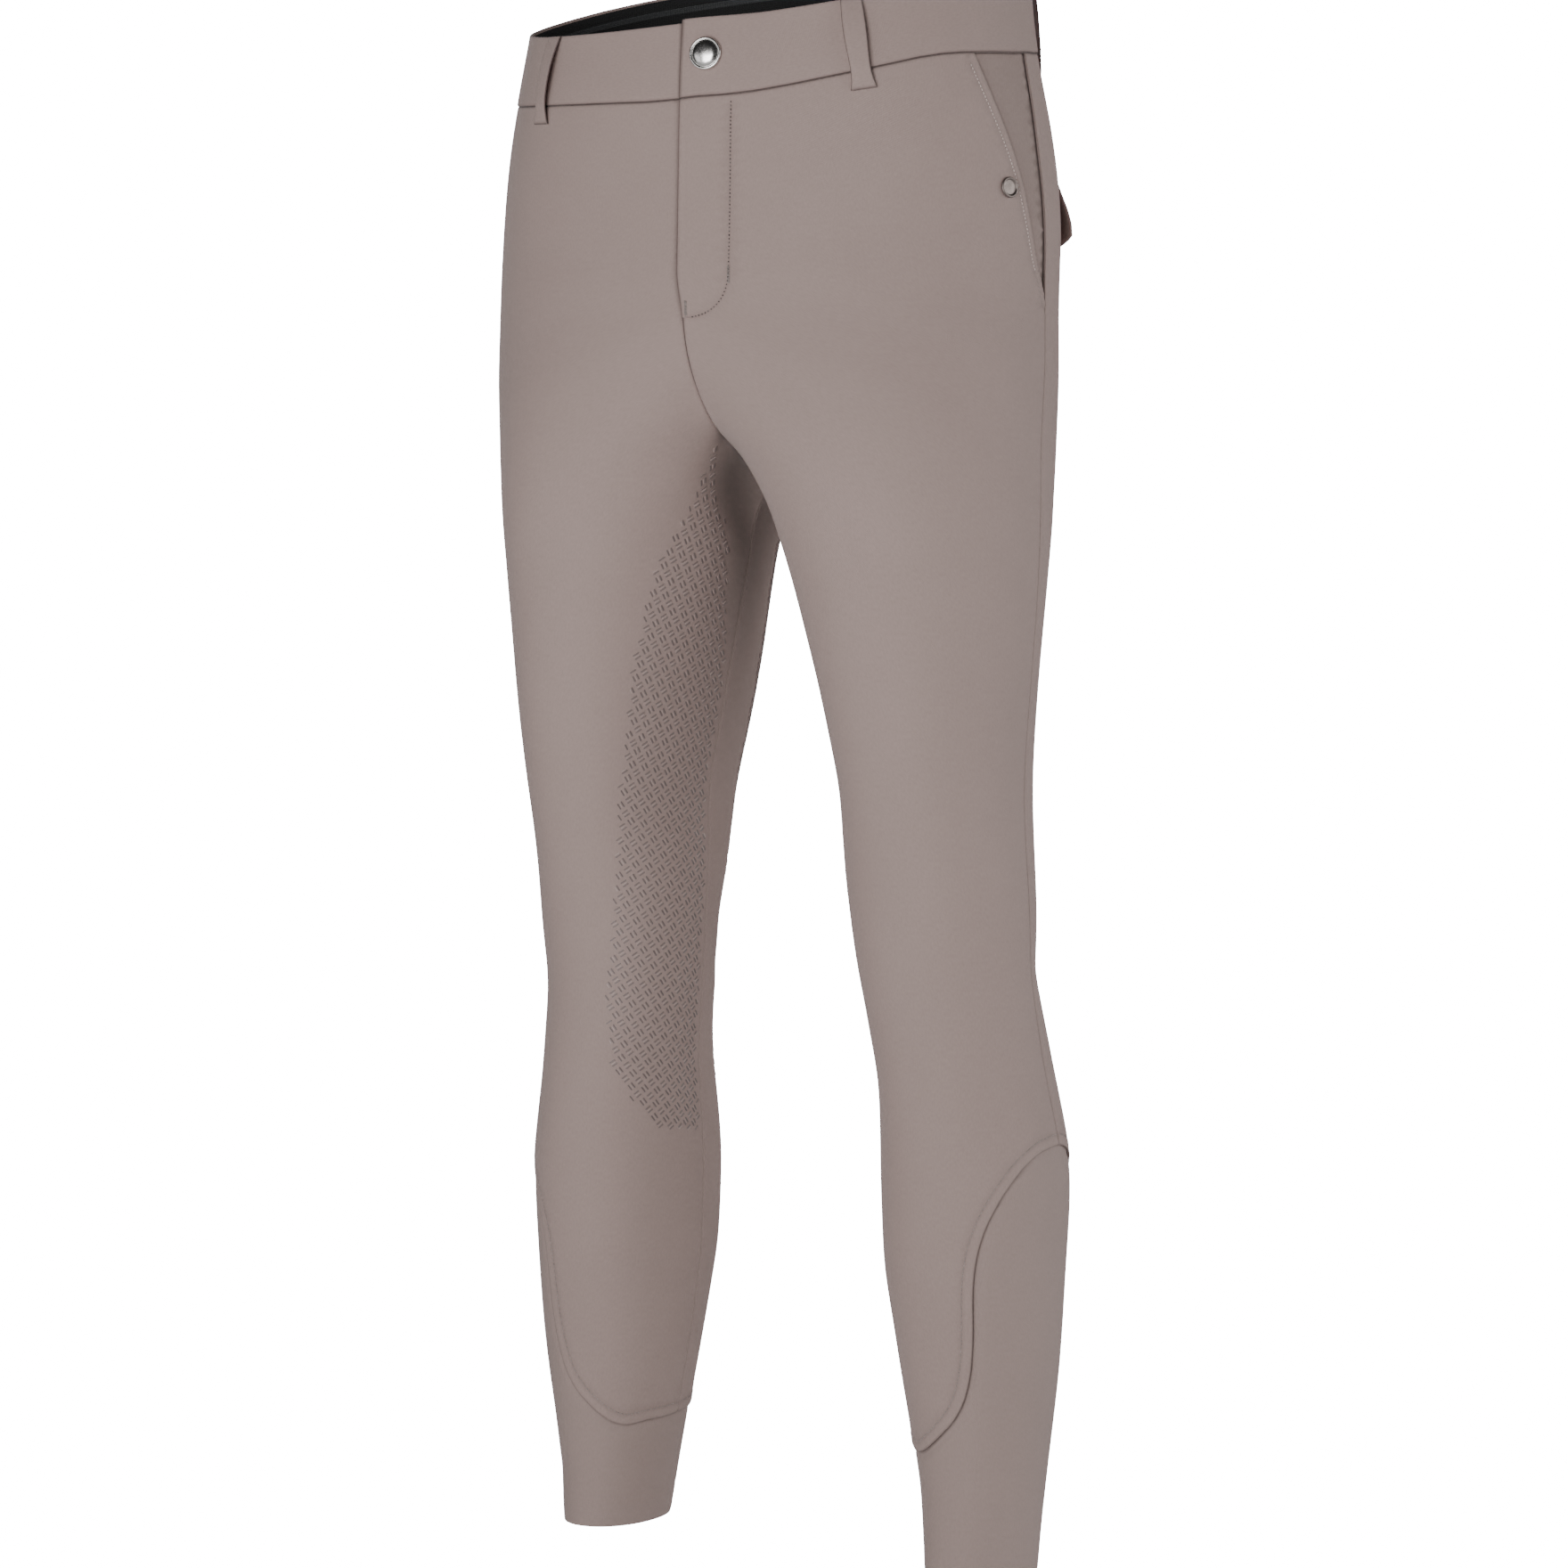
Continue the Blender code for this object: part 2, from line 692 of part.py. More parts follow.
def cuff_lift(points):
    """How far the main cloth rises over the stretch panel's edge at each point."""
    rows = np.array(CUFF_SEAM)
    turns = np.radians(rows[:, 0])
    edge = np.interp(points[:, 0], turns, rows[:, 1])
    steep = np.interp(points[:, 0], turns, np.abs(np.gradient(rows[:, 1], turns)))
    reach = CUFF_EDGE_RUN + CUFF_STEEP_RUN * np.minimum(steep, 1.0)
    rise = np.interp(points[:, 0], np.radians([row[0] for row in CUFF_LIFTS]),
                     [row[1] for row in CUFF_LIFTS])
    return rise * np.exp(-0.5 * ((points[:, 1] - edge) / reach) ** 2)


def panel(name, side, pattern, colour, lap=no_lap, fly=False, extra=()):
    """A main panel: its pattern cut out, laid on the body and thickened."""
    points, faces = cut(inset(pattern, SEAM_HALF), extra=extra)
    angle, height = points[:, 0], points[:, 1]
    lift = cuff_lift(points)
    if fly:
        lift = lift + fly_lift(plain_point(side, angle, height), angle, height)
    skins = [surface(side, angle, height, lift + edge) for edge in (CLOTH_HALF, -CLOTH_HALF)]
    least = np.array([lap(value) for value in height]) + SEAM_HALF
    skins = [kept_clear(skin, side, least) for skin in skins]
    return sheet(name, skins[0], skins[1], faces, colour, side < 0)


def fly_stitch_points():
    """Two lines of points either side of the fly's J-shaped stitching."""
    found = []
    for shift in (-0.004, 0.004):
        for height in np.linspace(WAIST_SEAM - 0.008, FLY_TURN, 11):
            found.append((angle_at_x(FLY_WIDTH + shift, height), height))
        for turn in np.radians([25, 50, 72]):
            height = FLY_TURN + (FLY_END - FLY_TURN) * math.sin(turn)
            found.append((angle_at_x(FLY_WIDTH * math.cos(turn) + shift, height), height))
    return found


def cuff(name, side):
    """The stretch panel: one tube round the leg, a layer lower than the main cloth."""
    seam, _ = cuff_seam()
    level = LEFT_HEM if side > 0 else RIGHT_HEM
    around = np.linspace(2 * math.pi, 0, HEM_STEPS + 1)
    hem = np.stack([around, np.full(len(around), level)], axis=1)
    foot = np.linspace(level, seam[0, 1], 4)
    first = np.stack([np.zeros(4), foot], axis=1)
    last = np.stack([np.full(4, 2 * math.pi), foot[::-1]], axis=1)
    pattern = outline(seam, last, hem, first)
    pattern[:len(seam), 1] -= 2 * SEAM_HALF
    points, faces = cut(pattern)
    keys = {}
    merged = []
    for angle, height in points:
        key = (round(angle % (2 * math.pi - 1e-7), 4), round(height, 5))
        merged.append(keys.setdefault(key, len(keys)))
    plan = np.array([[key[0], key[1]] for key in keys])
    faces = [tuple(merged[k] for k in face) for face in faces]
    out = -CLOTH_HALF - LAYER_GAP
    flat = np.zeros(len(plan))
    outer = surface(side, plan[:, 0], plan[:, 1], flat + out)
    inner = surface(side, plan[:, 0], plan[:, 1], flat + out - CUFF_THICK)
    return sheet(name, outer, inner, faces, CUFF_COLOUR, side < 0)


def band_lift(side, points):
    """The left band's end stands proud of the right's, over its layers."""
    if side < 0:
        return np.zeros(len(points))
    x = plain_point(1, points[:, 0], points[:, 1])[:, 0]
    return BAND_END_LIFT * smooth_step(1 - x / BAND_END_RUN) * (np.sin(points[:, 0]) > 0)


def waistband(name, side, lap):
    start = angle_at_x(lap(WAIST_SEAM), WAIST_SEAM)
    columns = [start, *BAND_TURNS, math.radians(CENTRE_BACK)]
    points, faces = grid(columns, BAND_ROWS)
    lift = band_lift(side, points)
    rise = lift * (points[:, 1] > WAIST_SEAM / 2)
    points[:, 1] = hung(side, points[:, 0], points[:, 1]) + rise
    skins = [surface(side, points[:, 0], points[:, 1], lift + edge) for edge in (BAND_OUT, BAND_IN)]
    least = np.where(np.sin(points[:, 0]) > 0, lap(WAIST_SEAM), 0.0) + SEAM_HALF
    skins = [kept_clear(skin, side, least) for skin in skins]
    return sheet(name, skins[0], skins[1], [face[::-1] for face in faces], CLOTH_COLOUR, side > 0)


def waistband_facing():
    """Dark tape all the way round inside the band, from the fly to the fly."""
    columns = [(1, turn) for turn in BAND_TURNS] + [(1, math.radians(CENTRE_BACK))]
    columns += [(-1, turn) for turn in BAND_TURNS[::-1]]
    skins = []
    for offset in (BAND_IN - LAYER_GAP, BAND_IN - LAYER_GAP - TAPE_THICK):
        skin = []
        for height in FACING_ROWS:
            for side, angle in columns:
                at = np.array([angle]), np.array([hung(side, angle, height)])
                skin.append(surface(side, at[0], at[1], np.array([offset]))[0])
        skins.append(np.array(skin))
    _, faces = grid([angle for _, angle in columns], FACING_ROWS)
    faces = [face[::-1] for face in faces]
    return sheet("waistband_facing", skins[0], skins[1], faces, TAPE_COLOUR, True)


def band_or_panel_out(height):
    """The outer skin's offset: the band above its seam, the cloth below it."""
    return BAND_OUT if height > WAIST_SEAM - 0.004 else CLOTH_HALF


def belt_loop(name, side, top, foot):
    """A narrow doubled strip, sewn down at both ends and standing off the band between them."""
    ends = []
    for height, gap, width in LOOP_PATH:
        share = height / LOOP_PATH[-1][0]
        middle = math.radians(top + (foot - top) * share)
        along, _ = slopes(side, np.array([middle]), np.array([height]))
        half = LOOP_WIDTH * width / 2 / float(np.linalg.norm(along))
        ring = []
        for turn, layer in ((-half, 0), (half, 0), (half, LOOP_THICK), (-half, LOOP_THICK)):
            offset = band_or_panel_out(height) + gap + layer
            level = hung(side, middle, height)
            at = surface(side, np.array([middle + turn]), np.array([level]), np.array([offset]))
            ring.append(at[0])
        ends.append(ring)
    points = np.array([point for ring in ends for point in ring])
    faces = [(0, 1, 2, 3)]
    for step in range(len(ends) - 1):
        for k in range(4):
            a, b = 4 * step + k, 4 * step + (k + 1) % 4
            faces.append((a, a + 4, b + 4, b))
    last = 4 * (len(ends) - 1)
    faces.append((last + 3, last + 2, last + 1, last))
    if side > 0:
        faces = [face[::-1] for face in faces]
    return add_object(name, points, faces, CLOTH_COLOUR)


def pocket_flap(name, side):
    """A back pocket's flap: sewn along its top, its lower corner curling off the seat."""
    columns = np.radians(np.linspace(FLAP_ENDS[0], FLAP_ENDS[1], FLAP_COLUMNS))
    skins = []
    for layer in (FLAP_THICK, 0.0):
        skin = []
        for share, near_gap, far_gap in FLAP_ROWS:
            for column, angle in enumerate(columns):
                along = column / (FLAP_COLUMNS - 1)
                drop = FLAP_DROP + FLAP_POINT * math.sin(math.pi * along)
                height = FLAP_TOP - share * drop
                gap = near_gap + (far_gap - near_gap) * smooth_step(along * 1.6)
                offset = CLOTH_HALF + gap + layer
                at = surface(side, np.array([angle]), np.array([height]), np.array([offset]))
                skin.append(at[0])
        skins.append(np.array(skin))
    _, faces = grid(columns, [row[0] for row in FLAP_ROWS])
    return sheet(name, skins[0], skins[1], [face[::-1] for face in faces], CLOTH_COLOUR, side > 0)


def turned_metal(name, side, at, stand, lean, profile, colour, roughness):
    """A disc turned from its profile, lying on the cloth at a girth angle and height."""
    curve = [(0.0, 0.0, profile[-1][1] + CROWN_RISE)]
    curve += [(radius, 0.0, rise) for radius, rise in profile[::-1]]
    curve += [(0.0, 0.0, profile[0][1])]
    mesh = bpy.data.meshes.new(name)
    mesh.from_pydata(curve, [(k, k + 1) for k in range(len(curve) - 1)], [])
    made = bpy.data.objects.new(name, mesh)
    made.data.materials.append(material(name, colour, roughness, 1.0))
    collection.objects.link(made)

    turn = made.modifiers.new("turn", "SCREW")
    turn.axis = "Z"
    turn.angle = 2 * math.pi
    turn.steps = METAL_SIDES
    turn.render_steps = METAL_SIDES
    turn.use_merge_vertices = True
    turn.merge_threshold = METAL_MERGE
    turn.use_smooth_shade = True

    angle, height = np.array([math.radians(at[0])]), np.array([at[1]])
    made.location = Vector(surface(side, angle, height, np.array([stand]))[0])
    axis = Matrix.Rotation(side * math.radians(lean), 3, "Z") @ Vector(outward(side, angle, height)[0])
    made.rotation_mode = "QUATERNION"
    made.rotation_quaternion = axis.to_track_quat("Z", "Y")
    return made


# Building -------------------------------------------------------------------------------------

for old in list(bpy.data.objects):
    bpy.data.objects.remove(old)
collection = bpy.data.collections.new("riding_breeches")
bpy.context.scene.collection.children.link(collection)

SIDES = (("left", 1, left_lap), ("right", -1, right_lap))

for word, side, lap in SIDES:
    stitch = fly_stitch_points() if side > 0 else ()
    panel("front_" + word, side, front_pattern(side, lap), CLOTH_COLOUR, lap, side > 0, stitch)
    panel("back_" + word, side, back_pattern(side), CLOTH_COLOUR)
    cuff("cuff_" + word, side)
    waistband("waistband_" + word, side, lap)
    pocket_flap("pocket_flap_" + word, side)

    # The pocket's facing lies one layer under the front's cut edge.
    plan, triangles = cut(inset(facing_pattern(side), SEAM_HALF), FACING_SPACING)
    low = np.full(len(plan), -CLOTH_HALF - LAYER_GAP)
    outer_skin = surface(side, plan[:, 0], plan[:, 1], low)
    inner_skin = surface(side, plan[:, 0], plan[:, 1], low - 2 * CLOTH_HALF)
    sheet("pocket_facing_" + word, outer_skin, inner_skin, triangles, POCKET_COLOUR, side < 0)

    turned_metal("pocket_snap_" + word, side, SNAP_AT, CLOTH_HALF + SNAP_GAP, SNAP_LEAN,
                 SNAP_PROFILE, SNAP_COLOUR, SNAP_ROUGHNESS)

waistband_facing()
for loop_name, loop_side, loop_top, loop_foot in BELT_LOOPS:
    belt_loop(loop_name, loop_side, loop_top, loop_foot)
turned_metal("waist_button", 1, BUTTON_AT, BAND_OUT + BAND_END_LIFT + BUTTON_GAP, BUTTON_LEAN,
             BUTTON_PROFILE, BUTTON_COLOUR, BUTTON_ROUGHNESS)
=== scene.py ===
import math

import bpy
import numpy as np
from mathutils import Matrix, Vector
from mathutils.geometry import delaunay_2d_cdt


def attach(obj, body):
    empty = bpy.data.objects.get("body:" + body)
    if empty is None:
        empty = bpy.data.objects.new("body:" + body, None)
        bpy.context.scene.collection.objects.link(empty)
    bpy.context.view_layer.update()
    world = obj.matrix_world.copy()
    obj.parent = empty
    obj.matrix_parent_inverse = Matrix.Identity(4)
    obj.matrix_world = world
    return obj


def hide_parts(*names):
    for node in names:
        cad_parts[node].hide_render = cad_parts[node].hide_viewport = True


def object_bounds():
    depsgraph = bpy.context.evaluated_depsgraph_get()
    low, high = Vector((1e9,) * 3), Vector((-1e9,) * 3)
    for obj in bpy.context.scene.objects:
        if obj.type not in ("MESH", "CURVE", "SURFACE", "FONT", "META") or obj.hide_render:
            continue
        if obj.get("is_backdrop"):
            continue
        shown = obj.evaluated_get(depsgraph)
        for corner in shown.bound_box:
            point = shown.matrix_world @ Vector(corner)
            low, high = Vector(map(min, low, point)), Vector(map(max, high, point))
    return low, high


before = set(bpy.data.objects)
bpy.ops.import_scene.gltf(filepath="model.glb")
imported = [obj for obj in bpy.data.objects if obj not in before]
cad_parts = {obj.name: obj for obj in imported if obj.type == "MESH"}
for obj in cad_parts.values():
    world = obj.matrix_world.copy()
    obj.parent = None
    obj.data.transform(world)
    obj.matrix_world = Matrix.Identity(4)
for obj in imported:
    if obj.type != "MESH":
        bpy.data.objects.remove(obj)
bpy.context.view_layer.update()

# Front panels ---------------------------------------------------------------------------------
# The two fronts of the legs are cut from a smooth four-way stretch twill and sewn to the backs
# down both legs and to each other at the centre. The left one has the fly's layers under it.

CLOTH_HALF = 0.0007
SEAM_HALF = 0.00004
WAIST_SEAM = -0.050
FLY_LAP = 0.003
FLY_WIDTH = 0.032
FLY_LIFT = 0.0017
FLY_STEP_RUN = 0.006
FLY_TURN = -0.172
FLY_END = -0.205
FLY_SQUARE = 2.5

# Girth angles in degrees: 0 at the inseam, 90 at the centre front, 180 outside, 270 at the back
CENTRE_BACK = 270.0
PLANE = 0.090
BOTH_SIDES = (("left", 1), ("right", -1))

# Cross-sections of the left half at the middle of the cloth
SECTIONS = (
    # height, outer, inner, front, back, lean
    (0.000, 0.1590, -0.1590, -0.1255, 0.1150, 0.000),
    (-0.050, 0.1675, -0.1675, -0.1300, 0.1000, 0.000),
    (-0.100, 0.1770, -0.1770, -0.1300, 0.1115, 0.000),
    (-0.150, 0.1820, -0.1820, -0.1315, 0.1180, 0.000),
    (-0.200, 0.1805, -0.1490, -0.1335, 0.1105, 0.000),
    (-0.245, 0.1815, -0.0615, -0.1275, 0.1070, 0.000),
    (-0.285, 0.1775, -0.0100, -0.1240, 0.1005, 0.000),
    (-0.320, 0.1780, 0.0125, -0.1160, 0.0955, 0.010),
    (-0.370, 0.1765, 0.0250, -0.1040, 0.0875, 0.040),
    (-0.430, 0.1695, 0.0395, -0.0955, 0.0895, 0.080),
    (-0.500, 0.1635, 0.0535, -0.0825, 0.0785, 0.070),
    (-0.560, 0.1670, 0.0550, -0.0640, 0.0665, 0.011),
    (-0.620, 0.1665, 0.0615, -0.0565, 0.0660, -0.035),
    (-0.680, 0.1710, 0.0710, -0.0515, 0.0820, -0.022),
    (-0.740, 0.1820, 0.0700, -0.0520, 0.0930, 0.010),
    (-0.800, 0.1795, 0.0720, -0.0470, 0.0855, 0.015),
    (-0.870, 0.1775, 0.0825, -0.0340, 0.0740, 0.000),
    (-0.940, 0.1680, 0.0950, -0.0280, 0.0690, -0.018),
    (-1.000, 0.1620, 0.1030, -0.0310, 0.0610, -0.054),
)
SECTION_SOFT = (0.022, 0.010, 0.022, 0.022, 0.022)
ROUNDNESS = ((0.0, 2.3), (0.20, 2.3), (0.36, 2.1))
WAIST_SET = (
    # depth below the waist, dip to the front, dip to the right
    (0.00, 0.256, 0.058),
    (0.05, 0.222, 0.055),
    (0.15, 0.099, 0.023),
    (0.26, 0.000, 0.000),
)
# How far the waistband's top edge and its seam wander from their even heights as it is worn
WAIST_LIFTS = (
    # girth angle, left top, left seam, right top, right seam
    (92.0, 0.0000, 0.0000, 0.0000, 0.0000),
    (97.0, 0.0000, -0.0010, 0.0000, 0.0005),
    (103.0, 0.0000, -0.0009, 0.0000, 0.0018),
    (110.0, 0.0000, 0.0001, 0.0000, 0.0029),
    (120.0, 0.0000, 0.0018, 0.0000, 0.0039),
    (132.0, 0.0000, 0.0034, 0.0000, 0.0044),
    (143.0, 0.0000, 0.0048, 0.0000, 0.0040),
    (150.0, 0.0000, 0.0044, 0.0000, 0.0035),
    (156.0, 0.0000, 0.0031, 0.0000, 0.0032),
    (162.0, -0.0004, 0.0012, 0.0000, 0.0030),
    (168.0, -0.0012, -0.0006, 0.0000, 0.0030),
    (180.0, -0.0046, -0.0046, 0.0004, 0.0030),
    (190.0, -0.0072, -0.0074, 0.0008, 0.0030),
    (200.0, -0.0088, -0.0088, 0.0012, 0.0030),
    (215.0, -0.0086, -0.0086, 0.0015, 0.0028),
    (240.0, -0.0050, -0.0050, 0.0008, 0.0016),
    (262.0, -0.0006, -0.0006, 0.0001, 0.0002),
    (270.0, 0.0000, 0.0000, 0.0000, 0.0000),
)
SIDE_SEAM = (
    # height, girth angle
    (-0.058, 183.0),
    (-0.115, 181.5),
    (-0.200, 183.0),
    (-0.265, 185.0),
    (-0.320, 186.5),
    (-0.600, 187.0),
    (-0.725, 187.0),
)
POCKET_MOUTH = (
    # height, girth angle, from the waist seam down to the side seam
    (WAIST_SEAM, 161.0),
    (-0.090, 167.0),
    (-0.125, 172.5),
    (-0.150, 175.5),
    (-0.178, 179.0),
    (-0.200, 183.0),
)
CUFF_SEAM = (
    # girth angle, height, once round the leg from the inseam
    (0.0, -0.9105),
    (14.0, -0.9115),
    (33.0, -0.9120),
    (52.0, -0.9150),
    (66.0, -0.9120),
    (81.0, -0.9040),
    (95.0, -0.8930),
    (105.0, -0.8800),
    (111.0, -0.8620),
    (114.5, -0.8380),
    (116.5, -0.8060),
    (120.0, -0.7850),
    (126.0, -0.7680),
    (136.0, -0.7510),
    (150.0, -0.7350),
    (166.0, -0.7255),
    (187.0, -0.7225),
    (205.0, -0.7280),
    (222.0, -0.7420),
    (236.0, -0.7620),
    (247.0, -0.7900),
    (255.0, -0.8240),
    (264.0, -0.8560),
    (277.0, -0.8820),
    (295.0, -0.9010),
    (318.0, -0.9080),
    (340.0, -0.9100),
    (360.0, -0.9105),
)
CUFF_EDGE_RUN = 0.006
CUFF_STEEP_RUN = 0.030
CUFF_LIFTS = (
    # girth angle, how far the main cloth stands up over the stretch panel's turned edge
    (0.0, 0.0006),
    (70.0, 0.0006),
    (115.0, 0.0003),
    (150.0, 0.0001),
    (220.0, 0.0001),
    (290.0, 0.0005),
    (360.0, 0.0006),
)

# Soft troughs and swells: along and across are half lengths on the surface
FOLDS = (
    # side, girth angle, height, slant in degrees, along, across, depth
    (1, 275.0, -0.590, 12.0, 0.055, 0.016, -0.0022),
    (1, 262.0, -0.632, -10.0, 0.048, 0.015, -0.0026),
    (-1, 272.0, -0.600, 14.0, 0.052, 0.016, -0.0024),
    (-1, 258.0, -0.640, -12.0, 0.050, 0.015, -0.0020),
    (1, 285.0, -0.262, 24.0, 0.060, 0.020, -0.0024),
    (-1, 282.0, -0.256, 27.0, 0.056, 0.019, -0.0021),
    (1, 66.0, -0.640, -20.0, 0.040, 0.018, -0.0014),
    (-1, 150.0, -0.628, 16.0, 0.044, 0.018, -0.0016),
    # behind the knees
    (1, 250.0, -0.610, 4.0, 0.038, 0.008, -0.0013),
    (1, 288.0, -0.655, -6.0, 0.034, 0.007, -0.0012),
    (-1, 290.0, -0.622, 8.0, 0.036, 0.008, -0.0014),
    (-1, 247.0, -0.598, -5.0, 0.030, 0.007, -0.0010),
    # under the seat and from the crotch
    (1, 262.0, -0.300, 12.0, 0.046, 0.010, -0.0012),
    (-1, 266.0, -0.306, 9.0, 0.050, 0.010, -0.0013),
    (1, 48.0, -0.300, -32.0, 0.042, 0.012, -0.0010),
    (-1, 52.0, -0.294, -36.0, 0.038, 0.011, -0.0009),
    # the hollows beside the inseam, right under the crotch
    (-1, 15.0, -0.311, 45.0, 0.026, 0.0125, -0.0065),
    (-1, 33.0, -0.2815, 40.0, 0.010, 0.0040, -0.0026),
    (-1, 44.0, -0.2720, 52.0, 0.016, 0.0055, 0.0011),
    (1, 12.0, -0.318, 45.0, 0.024, 0.0110, -0.0036),
    (1, 40.0, -0.2700, 50.0, 0.018, 0.0055, 0.0010),
    # over the instep ends of the legs
    (1, 98.0, -0.930, 10.0, 0.026, 0.008, -0.0008),
    (-1, 110.0, -0.944, -8.0, 0.028, 0.008, -0.0009),
)

# The cloth's slow unevenness, the same through every seam
WAVES = (
    # wavelength, x, y, z of its direction, phase, height
    (0.230, 0.70, 0.55, 0.45, 0.4, 0.00055),
    (0.150, -0.65, 0.60, 0.48, 2.1, 0.00040),
    (0.105, 0.35, -0.80, 0.50, 4.0, 0.00026),
    (0.071, 0.80, 0.30, -0.52, 5.3, 0.00014),
)

TABLE_STEP = 0.005
SCALE = np.arange(0.040, -1.0425, -TABLE_STEP)
SOFT_SPREADS = 3


def softened(values, soft):
    """One column of SECTIONS on a fine scale of heights, with its corners rounded off."""
    rows = np.array([-row[0] for row in SECTIONS])
    fine = np.interp(-SCALE, rows, values)
    reach = int(round(SOFT_SPREADS * soft / TABLE_STEP))
    before = 2 * fine[0] - fine[reach:0:-1]
    after = 2 * fine[-1] - fine[-2:-reach - 2:-1]
    offsets = np.arange(-reach, reach + 1) * TABLE_STEP
    weights = np.exp(-0.5 * (offsets / soft) ** 2)
    return np.convolve(np.concatenate([before, fine, after]), weights / weights.sum(), "valid")


COLUMNS = [
    softened(np.array([row[column + 1] for row in SECTIONS]), soft)
    for column, soft in enumerate(SECTION_SOFT)
]


def section_at(height):
    """(outer, inner, front, back, lean) at each height."""
    return [np.interp(-height, -SCALE, column) for column in COLUMNS]


def at_depth(table, height, column=1):
    """A column of a table whose rows go down from the waist."""
    rows = np.array(table)
    return np.interp(-height, rows[:, 0], rows[:, column])


def at_girth(table, angle, column=1):
    """A column of a table whose rows go round the girth in degrees."""
    rows = np.array(table)
    return np.interp(angle, np.radians(rows[:, 0]), rows[:, column])


def power(value, exponent):
    return np.sign(value) * np.abs(value) ** exponent


def plain_point(side, angle, height):
    """Points of the surface before its folds; side is 1 for the left half and -1 for the right."""
    outer, inner, front, back, lean = section_at(height)
    share = 2 / at_depth(ROUNDNESS, height)
    middle_y = (front + back) / 2
    x = (outer + inner) / 2 - (outer - inner) / 2 * power(np.cos(angle), share)
    y = middle_y - (back - front) / 2 * power(np.sin(angle), share)
    x = x - lean * (y - middle_y)
    z = height + at_depth(WAIST_SET, height) * y + at_depth(WAIST_SET, height, 2) * side * x
    return np.stack([side * x, y, z], axis=-1)


def hung(side, angle, height):
    """Where the worn waistband carries a height of its even strip."""
    column = 1 if side > 0 else 3
    top = at_girth(WAIST_LIFTS, angle, column)
    seam = at_girth(WAIST_LIFTS, angle, column + 1)
    share = np.clip(height / WAIST_SEAM, 0, 1)
    return height + top * (1 - share) + seam * share


ANGLE_NUDGE = 0.012
HEIGHT_NUDGE = 0.004


def slopes(side, angle, height):
    """The surface's run to a radian of girth and its run to a metre of height."""
    ahead = plain_point(side, angle + ANGLE_NUDGE, height)
    behind = plain_point(side, angle - ANGLE_NUDGE, height)
    above = plain_point(side, angle, height + HEIGHT_NUDGE)
    below = plain_point(side, angle, height - HEIGHT_NUDGE)
    return (ahead - behind) / (2 * ANGLE_NUDGE), (above - below) / (2 * HEIGHT_NUDGE)


def outward(side, angle, height):
    along, up = slopes(side, angle, height)
    normal = side * np.cross(along, up)
    return normal / np.linalg.norm(normal, axis=-1, keepdims=True)


def girth_scale(side, angle, height):
    """Metres of cloth to a radian of girth."""
    along, _ = slopes(side, angle, height)
    return np.linalg.norm(along, axis=-1)


def oval(girth, angle, height, middle, level, slant, length, width):
    """1 in the middle of a slanting oval on the cloth, fading past its half length and width."""
    turn = (angle - math.radians(middle) + math.pi) % (2 * math.pi) - math.pi
    run = turn * girth
    lift = height - level
    lean = math.radians(slant)
    far = run * math.cos(lean) + lift * math.sin(lean)
    near = lift * math.cos(lean) - run * math.sin(lean)
    return np.exp(-0.5 * (far / length) ** 2 - 0.5 * (near / width) ** 2)


def relief(side, angle, height):
    """How far the cloth stands out of the plain surface in its folds and waves."""
    girth = girth_scale(side, angle, height)
    depth = np.zeros(girth.shape)
    for fold_side, *place, rise in FOLDS:
        if fold_side == side:
            depth = depth + rise * oval(girth, angle, height, *place)
    at = plain_point(side, angle, height)
    for wavelength, x, y, z, phase, rise in WAVES:
        depth = depth + rise * np.sin(at @ np.array([x, y, z]) * 2 * math.pi / wavelength + phase)
    return depth


def cloth_point(side, angle, height, offset):
    """Points of the folded cloth, moved out by offset."""
    stand = relief(side, angle, height) + offset
    return plain_point(side, angle, height) + outward(side, angle, height) * stand[..., None]


def angle_at_x(x, height, back=False):
    """The girth angle at which the section stands this far from the centre plane."""
    outer, inner, _, _, _ = section_at(height)
    share = ((outer + inner) / 2 - x) / ((outer - inner) / 2)
    turn = np.arccos(np.clip(power(share, at_depth(ROUNDNESS, height) / 2), -1, 1))
    return 2 * math.pi - turn if back else turn


# Runs round the girth from the inseam, for the weave and the print
RUN_TURNS = np.radians(np.arange(0.0, 360.5, 1.0))
RUN_STEP = 0.010
RUN_HEIGHTS = np.arange(0.020, -1.005, -RUN_STEP)
run_points = plain_point(1, RUN_TURNS[None, :], RUN_HEIGHTS[:, None])
run_lengths = np.linalg.norm(np.diff(run_points, axis=1), axis=2)
RUNS = np.concatenate([np.zeros((len(RUN_HEIGHTS), 1)), np.cumsum(run_lengths, axis=1)], axis=1)


def run_rows(height):
    """The table's row of runs at each height."""
    place = np.clip((RUN_HEIGHTS[0] - height) / RUN_STEP, 0, len(RUN_HEIGHTS) - 1.001)
    low = place.astype(int)
    share = (place - low)[:, None]
    return RUNS[low] * (1 - share) + RUNS[low + 1] * share


def girth_run(angle, height):
    """Metres of cloth round the girth from the inseam to each angle."""
    rows = run_rows(height)
    place = np.clip(np.degrees(angle), 0, len(RUN_TURNS) - 1.001)
    low = place.astype(int)
    share = place - low
    every = np.arange(len(rows))
    return rows[every, low] * (1 - share) + rows[every, low + 1] * share


def angle_at_run(run, height):
    """The girth angle that lies a run of cloth from the inseam."""
    rows = run_rows(height)
    low = np.clip((rows < run[:, None]).sum(axis=1) - 1, 0, len(RUN_TURNS) - 2)
    every = np.arange(len(rows))
    start, end = rows[every, low], rows[every, low + 1]
    return np.radians(low + (run - start) / (end - start))


